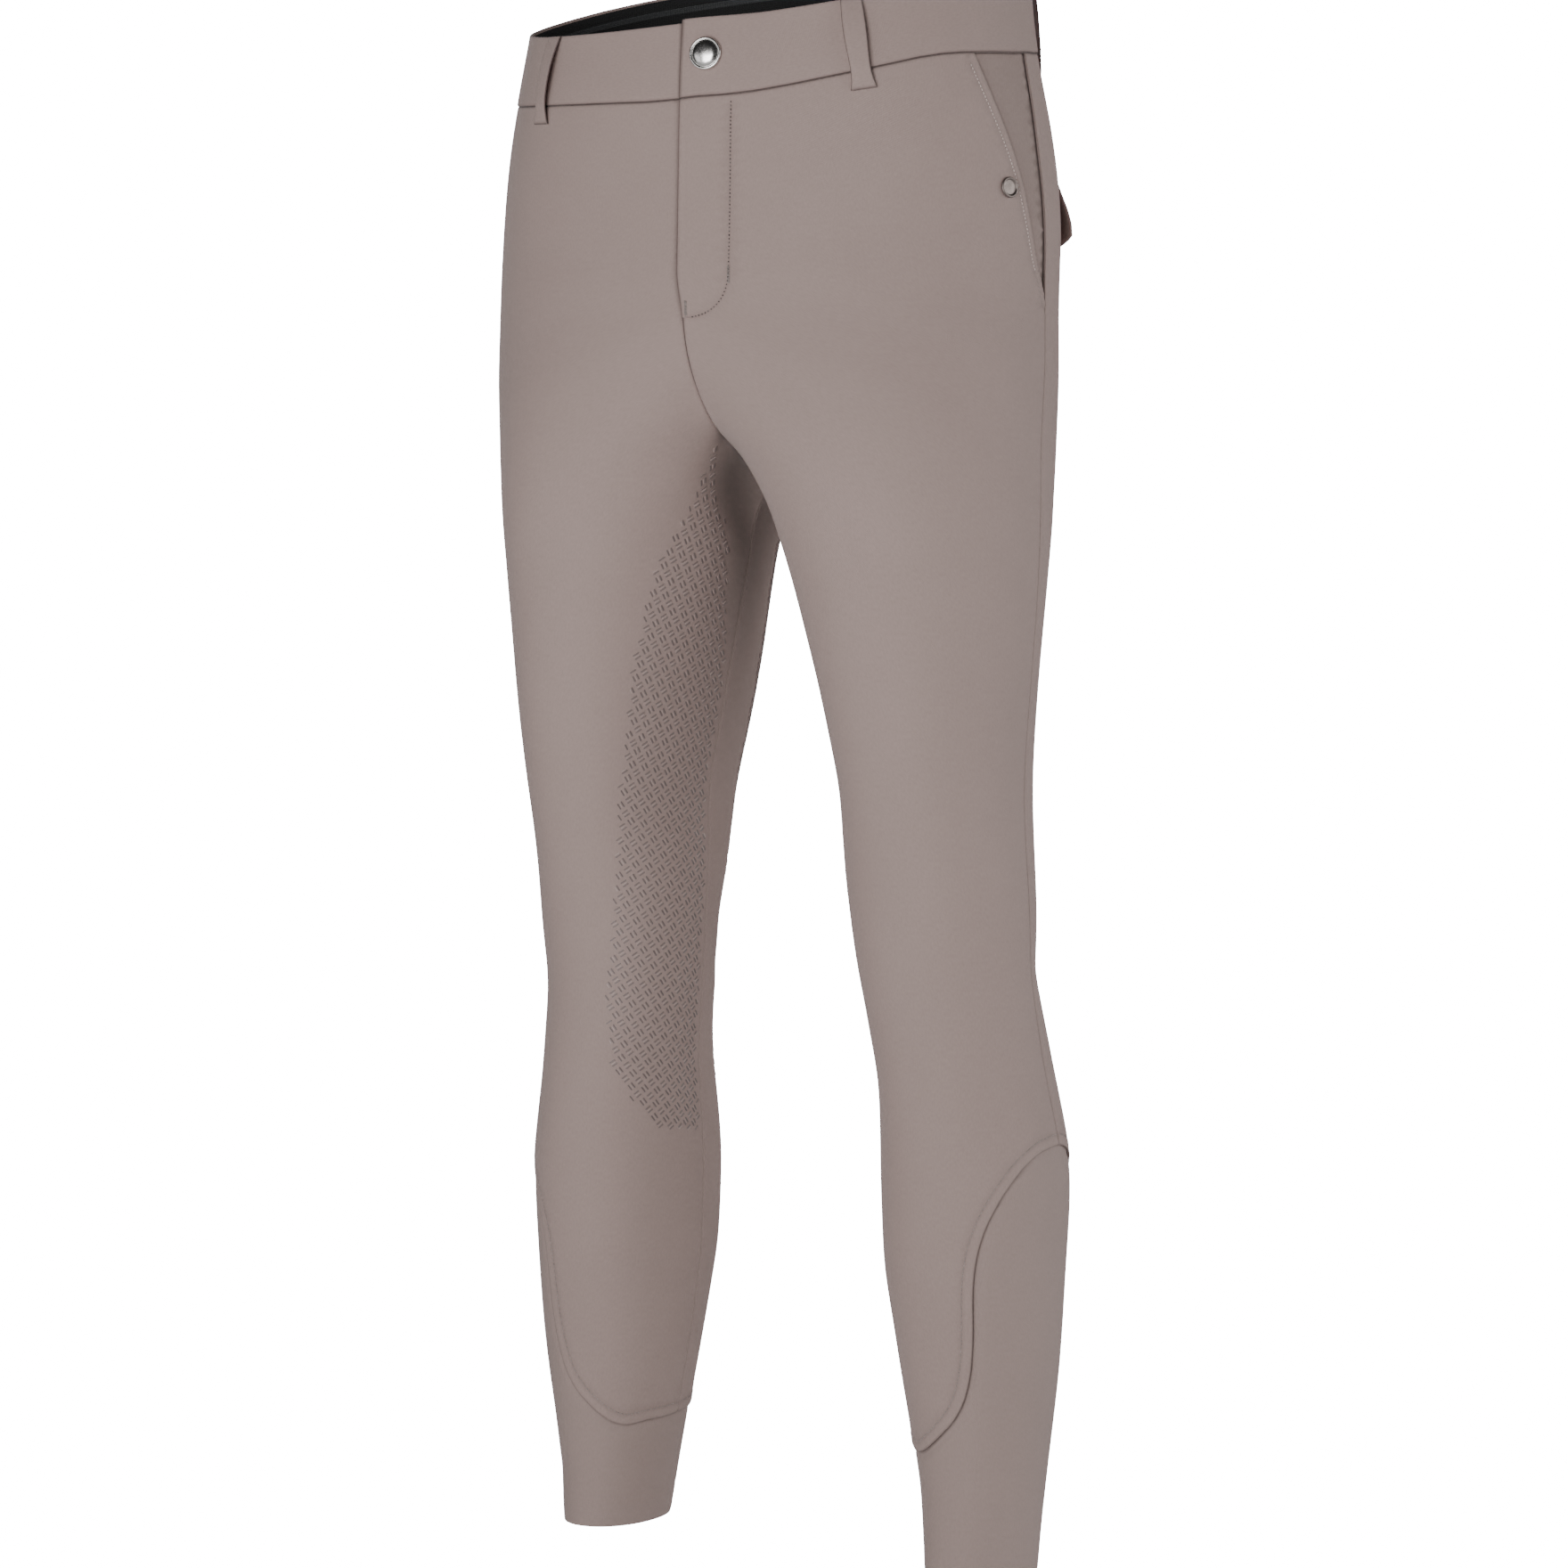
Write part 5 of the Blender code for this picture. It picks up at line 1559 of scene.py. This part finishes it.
section = band_section()
for word, side in BOTH_SIDES:
    start = front_centre(side, WAIST_SEAM)
    share = np.linspace(0, 1, BAND_COLUMNS)
    share = np.concatenate([BAND_START, share[1:-1], BAND_END])
    turns = start + (math.radians(CENTRE_BACK) - start) * share
    angle = np.repeat(turns, len(section))
    height = np.tile(section[:, 0], len(turns))
    offset = np.tile(section[:, 1], len(turns))
    lift = band_lift(side, angle, height)
    ends = bell(share, BAND_START_ROUND) + bell(1 - share, BAND_END_ROUND)
    ends = np.repeat(ends, len(section))
    outer_side = offset > BAND_MIDDLE
    offset = offset - ends * outer_side * BAND_ENDS_LOW
    raised = hung(side, angle, height) + lift * (height > WAIST_SEAM / 2)
    girth = girth_run(angle, height)
    wave = BAND_WAVE * np.sin(girth / BAND_WAVE_LENGTH)
    wave = wave * bell(height - WAIST_SEAM, BAND_WAVE_REACH)
    at = cloth_point(side, angle, raised, offset + lift + wave * outer_side)
    at_front = np.sin(angle) > 0
    least = np.where(at_front, fly_lap(side, WAIST_SEAM), 0.0) + SEAM_HALF
    faces = tube_faces(len(turns), len(section))
    shade = BAND_FOOT_SHADE * bell(height - section[0, 0], BAND_FOOT_SHADE_RUN) * outer_side
    shade = np.maximum(shade, BAND_END_SHADE * ends * at_front)
    node = "waistband_" + word
    piece = add_piece("waistband_cloth_" + word, kept_clear(at, side, least),
                      faces if side < 0 else flipped(faces), TWILL,
                      grain_maps(np.stack([height, girth], axis=1), shade))
    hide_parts(node)


# Waistband facing -----------------------------------------------------------------------------
# A near-black elastic tape lines the band all the way round from the fly to the fly. It has a
# ribbed rubber stripe along it that grips a tucked-in shirt.

TAPE_THICK = 0.0009
TAPE_TOP = -0.0018
TAPE_FOOT = -0.0465
TAPE_START = 97.0
TAPE_COLUMNS = 300
STRIPE_TOP = -0.0085
STRIPE_FOOT = -0.0122
STRIPE_RISE = 0.0004
TAPE_ROUND = 0.0003
TAPE_ROUND_RUN = 0.0006

tape, shader, make, feed = new_finish("waist_tape")
grain = mapped(make, "cloth_grain")
apart = parts_of(make, grain)
over = math_node(make, "GREATER_THAN", apart[1], STRIPE_FOOT)
under = math_node(make, "LESS_THAN", apart[1], STRIPE_TOP)
stripe = math_node(make, "MULTIPLY", over, under)
knit_shade = math_node(make, "MULTIPLY", noise(make, grain, 900.0, 2.0), 0.9)
dark = mix_colour(make, knit_shade, (0.0075, 0.0075, 0.0080, 1.0), (0.019, 0.019, 0.020, 1.0))
grey = mix_colour(make, knit_shade, (0.036, 0.038, 0.040, 1.0), (0.052, 0.054, 0.056, 1.0))
feed(mix_colour(make, stripe, dark, grey), "Base Color")
rib = math_node(make, "SINE", math_node(make, "MULTIPLY", apart[1], 2 * math.pi / 0.0011))
cross = math_node(make, "SINE", math_node(make, "MULTIPLY", apart[0], 2 * math.pi / 0.0016))
add_bump(make, feed, 0.6, 0.0002, math_node(make, "MULTIPLY_ADD", cross, 0.5, rib))
feed(math_node(make, "MULTIPLY_ADD", stripe, -0.22, 0.80), "Roughness")

half_turns = np.radians(np.linspace(TAPE_START, CENTRE_BACK, TAPE_COLUMNS // 2))
# Rows down the tape, closest at its edges and at the stripe's
heights = np.concatenate([
    [TAPE_TOP, TAPE_TOP - 0.0004, TAPE_TOP - 0.0012],
    np.linspace(TAPE_TOP - 0.0026, STRIPE_TOP + 0.0004, 4),
    [STRIPE_TOP - 0.0002],
    np.linspace(STRIPE_TOP - 0.0012, STRIPE_FOOT + 0.0012, 3),
    [STRIPE_FOOT + 0.0002],
    np.linspace(STRIPE_FOOT - 0.0004, TAPE_FOOT + 0.004, 8),
    [TAPE_FOOT + 0.0012, TAPE_FOOT + 0.0004, TAPE_FOOT],
])
on_stripe = (heights < STRIPE_TOP) & (heights > STRIPE_FOOT)
outside, inside_skin, grain_uv = [], [], []
for height, raised_stripe in zip(heights, on_stripe):
    for side, turns in ((1, half_turns), (-1, half_turns[-2::-1])):
        level = np.full(len(turns), height)
        lift = band_lift(side, turns, level)
        back = np.full(len(turns), BAND_IN - LAYER_GAP) + lift
        round_off = bell(height - TAPE_TOP, TAPE_ROUND_RUN) + bell(height - TAPE_FOOT, TAPE_ROUND_RUN)
        face = back - TAPE_THICK - STRIPE_RISE * raised_stripe + TAPE_ROUND * round_off
        worn = hung(side, turns, level)
        outside.append(cloth_point(side, turns, worn, back))
        inside_skin.append(cloth_point(side, turns, worn, face))
        run = girth_run(turns, level)
        run = run if side > 0 else 2 * girth_run(half_turns[-1:], level[:1]) - run
        grain_uv.append(np.stack([run, level], axis=1))
split = halved(quad_grid(len(heights), 2 * len(half_turns) - 1, closed=False))
points = np.concatenate(outside + inside_skin)
faces = flipped(shell_faces(split, len(points) // 2))
piece = add_piece("waistband_tape", points, faces, tape,
                  [("cloth_grain", np.concatenate(grain_uv + grain_uv))])
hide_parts("waistband_facing")


# Belt loops -----------------------------------------------------------------------------------
# Five narrow strips of the twill, folded in three and edge-stitched, are tacked to the top of
# the band and below its seam, and stand off it between.

BELT_LOOPS = (
    # name, side, girth angle at the top, girth angle at the foot, twist of its inner edge
    ("belt_loop_front_left", 1, 126.0, 128.0, 0.0003),
    ("belt_loop_front_right", -1, 126.5, 129.0, 0.0016),
    ("belt_loop_side_left", 1, 211.0, 211.0, 0.0),
    ("belt_loop_side_right", -1, 211.0, 211.0, 0.0004),
    ("belt_loop_back", 1, 270.0, 270.0, 0.0),
)
LOOP_WIDTH = 0.0130
LOOP_THICK = 0.0015
LOOP_PATH = (
    # height, gap under the strip, share of its width
    (-0.0005, 0.0003, 0.97),
    (-0.0050, 0.0012, 1.00),
    (-0.0110, 0.0023, 1.03),
    (-0.0190, 0.0030, 1.05),
    (-0.0280, 0.0032, 1.04),
    (-0.0370, 0.0030, 0.98),
    (-0.0450, 0.0027, 0.92),
    (-0.0520, 0.0022, 0.93),
    (-0.0575, 0.0013, 1.04),
    (-0.0630, 0.0006, 1.22),
)
LOOP_STEPS = 46
LOOP_SIDES = 28
LOOP_EDGE_ROUND = 0.45
LOOP_FACE_ROUND = 0.55
LOOP_OFF_CLOTH = 0.0001
LOOP_FOOT_ON_PANEL = WAIST_SEAM - 0.004
LOOP_STEP_SOFT = 7
LOOP_ENDS_THIN = 0.45
LOOP_ENDS_RUN = 0.02
LOOP_CROWN_REACH = 1.2
LOOP_EDGE_SHADE = 0.75
LOOP_EDGE_SHADE_FROM = 0.86
LOOP_FOOT_SHADE = 0.7
LOOP_FOOT_SHADE_RUN = 0.018

# The strip's section across its width: a flat oval
loop_turns = np.linspace(0, 2 * math.pi, LOOP_SIDES, endpoint=False)
loop_across = power(np.cos(loop_turns), LOOP_EDGE_ROUND)
loop_layer = 0.5 + 0.5 * power(np.sin(loop_turns), LOOP_FACE_ROUND)
loop_rows = np.array(LOOP_PATH)
for name, side, top, foot, twist in BELT_LOOPS:
    rows = eased(loop_rows[:, :2], LOOP_STEPS)
    share = rows[:, 0] / rows[-1, 0]
    middle = np.radians(top + (foot - top) * share)
    wide = LOOP_WIDTH * np.interp(-rows[:, 0], -loop_rows[:, 0], loop_rows[:, 2])
    half = wide / 2 / girth_scale(side, middle, rows[:, 0])
    under = np.where(rows[:, 0] > LOOP_FOOT_ON_PANEL, BAND_OUT, CLOTH_HALF) + LOOP_OFF_CLOTH
    under = np.pad(under, LOOP_STEP_SOFT // 2, mode="edge")
    under = np.convolve(under, np.ones(LOOP_STEP_SOFT) / LOOP_STEP_SOFT, "valid")
    angle = (middle[:, None] + half[:, None] * loop_across).ravel()
    height = np.repeat(rows[:, 0], LOOP_SIDES)
    ends = bell(share, LOOP_ENDS_RUN) + bell(1 - share, LOOP_ENDS_RUN)
    thick = LOOP_THICK * (1 - LOOP_ENDS_THIN * ends)
    crown = BAND_CROWN * np.sin(math.pi * np.clip(share * LOOP_CROWN_REACH, 0, 1))
    stand = np.repeat(under + rows[:, 1] + crown, LOOP_SIDES)
    stand = stand + (thick[:, None] * loop_layer).ravel()
    inner_edge = np.clip(0.5 - 0.5 * np.tile(loop_across, len(rows)), 0, 1)
    stand = stand + twist * inner_edge * np.repeat(np.sin(math.pi * share), LOOP_SIDES)
    stand = stand + band_lift(side, angle, height)
    worn = hung(side, np.repeat(middle, LOOP_SIDES), height)
    faces = tube_faces(len(rows), LOOP_SIDES)
    edge_share = np.tile(np.abs(loop_across), len(rows))
    dark = (edge_share - LOOP_EDGE_SHADE_FROM) / (1 - LOOP_EDGE_SHADE_FROM)
    foot_dark = np.repeat(bell(1 - share, LOOP_FOOT_SHADE_RUN), LOOP_SIDES)
    shade = np.maximum(LOOP_EDGE_SHADE * smooth_step(dark), LOOP_FOOT_SHADE * foot_dark)
    piece = add_piece(name + "_strip", cloth_point(side, angle, worn, stand),
                      faces if side < 0 else flipped(faces), TWILL,
                      grain_maps(np.stack([height, girth_run(angle, height)], axis=1), shade))
    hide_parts(name)
    word = "left" if side > 0 else "right"


# Back pocket flaps ----------------------------------------------------------------------------
# A pointed flap of doubled twill is sewn in along its top over each back pocket. Wear has curled
# its end by the side seam away from the seat.

FLAP_ENDS = (208.0, 250.0)
FLAP_TOP = -0.133
FLAP_DROP = 0.030
FLAP_POINT = 0.010
FLAP_THICK = 0.0016
FLAP_ROWS = (
    # share of the drop, gap at the side-seam end, gap at the seat end
    (0.00, 0.0004, 0.0004),
    (0.25, 0.0030, 0.0010),
    (0.50, 0.0058, 0.0018),
    (0.75, 0.0078, 0.0024),
    (1.00, 0.0082, 0.0026),
)
FLAP_COLUMNS = 56
FLAP_LINES = 26
FLAP_SPAN = 0.11
FLAP_DEPTH = 0.036
FLAP_EDGE_RUN = 0.0007
FLAP_EDGE_TURN = 0.004
FLAP_EDGE_SHARE = 0.015
FLAP_TOP_FULL = 0.6
FLAP_CURL_SPAN = 1.6
FLAP_STITCH_AT = 0.005
FLAP_GROOVE = 0.0002
FLAP_GROOVE_RUN = 0.0009


def with_edges(values, step):
    """A row of places with one more just inside each end."""
    return np.insert(values, [1, len(values) - 1], [values[0] + step, values[-1] - step])


def edge_fade(count, span):
    """1 in the middle of a row and 0 at its ends, rounding over at a span in metres."""
    place = np.linspace(0, 1, count)
    near = np.minimum(place, 1 - place) * span
    return 1 - np.exp(-near / FLAP_EDGE_RUN)


for word, side in BOTH_SIDES:
    columns = with_edges(np.radians(np.linspace(*FLAP_ENDS, FLAP_COLUMNS)), FLAP_EDGE_TURN)
    shares = with_edges(np.linspace(0, 1, FLAP_LINES), FLAP_EDGE_SHARE)
    rows = np.array(FLAP_ROWS)
    along = (columns - columns[0]) / (columns[-1] - columns[0])
    near_gap = np.interp(shares, rows[:, 0], rows[:, 1])
    far_gap = np.interp(shares, rows[:, 0], rows[:, 2])
    curl = smooth_step(along * FLAP_CURL_SPAN)[None, :]
    gap = near_gap[:, None] + (far_gap - near_gap)[:, None] * curl
    drop = FLAP_DROP + FLAP_POINT * np.sin(math.pi * along)
    height = FLAP_TOP - shares[:, None] * drop[None, :]
    angle = np.tile(columns, len(shares))
    full = np.minimum(edge_fade(len(shares), FLAP_DEPTH)[:, None],
                      edge_fade(len(columns), FLAP_SPAN)[None, :])
    full[0, :] = FLAP_TOP_FULL
    from_edge = np.minimum((1 - shares)[:, None] * FLAP_DEPTH,
                           np.minimum(along, 1 - along)[None, :] * FLAP_SPAN)
    groove = FLAP_GROOVE * bell(from_edge - FLAP_STITCH_AT, FLAP_GROOVE_RUN)
    base = CLOTH_HALF + gap
    over = base + FLAP_THICK * (0.5 + 0.5 * full) - groove
    below = base + FLAP_THICK * (0.5 - 0.5 * full)
    height = height.ravel()
    outer = cloth_point(side, angle, height, over.ravel())
    inner = cloth_point(side, angle, height, below.ravel())
    split = halved(quad_grid(len(shares), len(columns), closed=False)[:, ::-1])
    node = "pocket_flap_" + word
    piece = add_cloth("flap_cloth_" + word, side, outer, inner, split, TWILL, node,
                      np.stack([angle, height], axis=1), np.zeros(len(height)))


# Waist button ---------------------------------------------------------------------------------
# A pressed brass shank button with a polished nickel finish: a rolled rim round a low dome.

BUTTON_AT = (93.75, -0.0230)
BUTTON_STAND = BAND_OUT + BAND_END_LIFT + 0.0012
BUTTON_LEAN = 9.0
BUTTON_PROFILE = (
    # radius, height over its back
    (0.0094, 0.0000),
    (0.0099, 0.0004),
    (0.0101, 0.0010),
    (0.0100, 0.0016),
    (0.0097, 0.0021),
    (0.0092, 0.0023),
    (0.0087, 0.0022),
    (0.0084, 0.0018),
    (0.0082, 0.0018),
    (0.0078, 0.0022),
    (0.0070, 0.0028),
    (0.0056, 0.0034),
    (0.0040, 0.0037),
    (0.0020, 0.0039),
)
TURNED_SIDES = 96
TURNED_CROWN = 0.0001


def turned(name, side, at, stand, lean, profile, finish, node):
    """A disc turned from its profile, lying on the cloth at a girth angle and height."""
    angle, height = np.array([math.radians(at[0])]), np.array([at[1]])
    middle = Vector(cloth_point(side, angle, height, np.array([stand]))[0])
    out = Matrix.Rotation(side * math.radians(lean), 3, "Z") @ Vector(outward(side, angle, height)[0])
    place = out.to_track_quat("Z", "Y").to_matrix()
    around = np.arange(TURNED_SIDES) * 2 * math.pi / TURNED_SIDES
    circle = np.stack([np.cos(around), np.sin(around), np.zeros(TURNED_SIDES)], axis=1)
    rings = [radius * circle + [0, 0, rise] for radius, rise in profile]
    foot, top = [0, 0, profile[0][1]], [0, 0, profile[-1][1] + TURNED_CROWN]
    points = np.concatenate([[foot], *rings, [top]]) @ np.array(place).T + np.array(middle)
    last = len(points) - 1
    faces = []
    for k in range(TURNED_SIDES):
        after = (k + 1) % TURNED_SIDES
        faces.append((0, 1 + after, 1 + k))
        faces.append((last, last - TURNED_SIDES + k, last - TURNED_SIDES + after))
    faces += (quad_grid(len(rings), TURNED_SIDES) + 1).tolist()
    piece = add_piece(name, points, faces, finish, sharp=METAL_SHARP)
    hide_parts(node)


# Wear: fine scratches and dulled patches on the metal
scuffs, scuffs_in, scuffs_out = new_group(
    "metal_scuffs",
    [("Place", "NodeSocketVector", None), ("Amount", "NodeSocketFloat", 0.3)],
    [("Mask", "NodeSocketFloat"), ("Height", "NodeSocketFloat")],
)
make = maker(scuffs)
fine = noise(make, stretched(make, scuffs_in["Place"], (900.0, 900.0, 5200.0)), 1.0, 3.0)
patch = noise(make, scuffs_in["Place"], 260.0, 2.0)
both = math_node(make, "MULTIPLY", fine, patch)
spread_mask = math_node(make, "MULTIPLY", math_node(make, "SUBTRACT", both, 0.12), 4.0)
clamped = make("ShaderNodeClamp", in0=spread_mask).outputs[0]
scuffs.links.new(math_node(make, "MULTIPLY", clamped, scuffs_in["Amount"]), scuffs_out["Mask"])
scuffs.links.new(fine, scuffs_out["Height"])


def metal(name, bright, dull, smooth, rough, amount):
    """A metal that is duller and rougher where it is scuffed."""
    finish, shader, make, feed = new_finish(name)
    set_inputs(shader, metallic=1.0)
    place = make("ShaderNodeTexCoord").outputs["Object"]
    wear = make("ShaderNodeGroup", [("node_tree", scuffs)], Place=place, Amount=amount)
    mask = wear.outputs["Mask"]
    feed(mix_colour(make, mask, bright, dull), "Base Color")
    feed(math_node(make, "MULTIPLY_ADD", mask, rough - smooth, smooth), "Roughness")
    add_bump(make, feed, 0.05, 0.0001, wear.outputs["Height"])
    return finish


NICKEL = metal("polished_nickel", (0.80, 0.78, 0.76, 1.0), (0.55, 0.53, 0.51, 1.0), 0.16, 0.42, 0.5)
turned("waist_button_cap", 1, BUTTON_AT, BUTTON_STAND, BUTTON_LEAN, BUTTON_PROFILE, NICKEL,
       "waist_button")


# Pocket snaps ---------------------------------------------------------------------------------
# A matt press-stud cap, toned to the cloth, is riveted through each front by its pocket edge.

SNAP_AT = (166.5, -0.1330)
SNAP_STAND = CLOTH_HALF + 0.0006
SNAP_LEAN = -7.0
SNAP_PROFILE = (
    # radius, height over its back
    (0.0060, 0.0000),
    (0.0064, 0.0004),
    (0.0064, 0.0010),
    (0.0061, 0.0015),
    (0.0055, 0.0018),
    (0.0050, 0.0014),
    (0.0047, 0.0009),
    (0.0040, 0.0008),
    (0.0022, 0.0010),
)
PAINTED = metal("toned_metal", (0.270, 0.228, 0.210, 1.0), (0.190, 0.160, 0.148, 1.0),
                0.38, 0.60, 0.7)
for word, side in BOTH_SIDES:
    node = "pocket_snap_" + word
    turned(node + "_cap", side, SNAP_AT, SNAP_STAND, SNAP_LEAN, SNAP_PROFILE, PAINTED, node)


# Stage ----------------------------------------------------------------------------------------
# A pale floor under the hanging breeches, a soft studio light from the front, and the camera.

CAMERA_TURN = 27.7753
CAMERA_AWAY = 2.99494
CAMERA_HEIGHT = -0.39058
CAMERA_DOWN = 2.08559
CAMERA_LENS = 108.326
FLOOR_HEIGHT = -1.030
FLOOR_RADIUS = 2.2
FLOOR_SIDES = 128
FLOOR_GLOW = 18.0
BACKDROP_GLOW = 18.5
BACKDROP_LIGHT = 0.02
LIGHT_AIM = (0.0, 0.0, -0.45)
WHITE = (1.0, 1.0, 1.0, 1.0)


def set_aim(thing, direction):
    """Turn a camera or a lamp to look along a direction, and put it in the scene."""
    thing.rotation_mode = "QUATERNION"
    thing.rotation_quaternion = direction.to_track_quat("-Z", "Y")
    bpy.context.scene.collection.objects.link(thing)


turn, down = math.radians(CAMERA_TURN), math.radians(CAMERA_DOWN)
lens = bpy.data.cameras.new("camera")
lens.lens = CAMERA_LENS
lens.sensor_width = 36.0
camera = bpy.data.objects.new("camera", lens)
camera.location = (CAMERA_AWAY * math.sin(turn), -CAMERA_AWAY * math.cos(turn), CAMERA_HEIGHT)
set_aim(camera, Vector((-math.sin(turn) * math.cos(down), math.cos(turn) * math.cos(down),
                        -math.sin(down))))
bpy.context.scene.camera = camera

around = np.arange(FLOOR_SIDES) * 2 * math.pi / FLOOR_SIDES
disc = [(FLOOR_RADIUS * math.cos(k), FLOOR_RADIUS * math.sin(k), FLOOR_HEIGHT) for k in around]
floor_mesh = bpy.data.meshes.new("floor")
floor_mesh.from_pydata(disc, [], [list(range(FLOOR_SIDES))])
floor = bpy.data.objects.new("floor", floor_mesh)
floor_paint, shader, make, feed = new_finish("floor_paint")
grit = make("ShaderNodeTexNoise", Scale=40.0, Detail=4.0).outputs[0]
feed(mix_colour(make, grit, (0.86, 0.86, 0.86, 1.0), (0.90, 0.90, 0.90, 1.0)), "Base Color")
set_inputs(shader, roughness=0.9, emission_color=WHITE)
seen = make("ShaderNodeLightPath").outputs["Is Camera Ray"]
feed(math_node(make, "MULTIPLY", seen, FLOOR_GLOW), "Emission Strength")
floor_mesh.materials.append(floor_paint)
bpy.context.scene.collection.objects.link(floor)
floor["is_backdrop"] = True

world = bpy.data.worlds.new("studio")
bpy.context.scene.world = world
world.use_nodes = True
make = maker(world.node_tree)
backdrop = world.node_tree.nodes["Background"]
seen = make("ShaderNodeLightPath").outputs["Is Camera Ray"]
set_inputs(backdrop, color=WHITE)
strength = math_node(make, "MULTIPLY_ADD", seen, BACKDROP_GLOW, BACKDROP_LIGHT)
world.node_tree.links.new(strength, backdrop.inputs["Strength"])

LIGHTS = (
    # name, turn from the front in degrees, height, distance, side length, power
    ("key", -20.0, -0.45, 3.2, 1.8, 84.0),
    ("left_fill", -60.0, -0.45, 3.2, 1.8, 12.0),
    ("right_side", 70.0, 0.1, 3.2, 1.8, 28.0),
    ("right_rim", 105.0, 0.2, 3.2, 1.8, 42.0),
    ("back", 190.0, 0.6, 3.0, 1.6, 40.0),
)
for name, around, height, away, size, watts in LIGHTS:
    lamp = bpy.data.lights.new(name, "AREA")
    lamp.shape = "SQUARE"
    lamp.size = size
    lamp.energy = watts
    spot = bpy.data.objects.new(name, lamp)
    bearing = math.radians(CAMERA_TURN + around)
    spot.location = (away * math.sin(bearing), -away * math.cos(bearing), height)
    spot.visible_camera = False
    set_aim(spot, Vector(LIGHT_AIM) - spot.location)

# ----------------------------------------------------------------------------------------------

bpy.context.view_layer.update()
low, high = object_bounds()
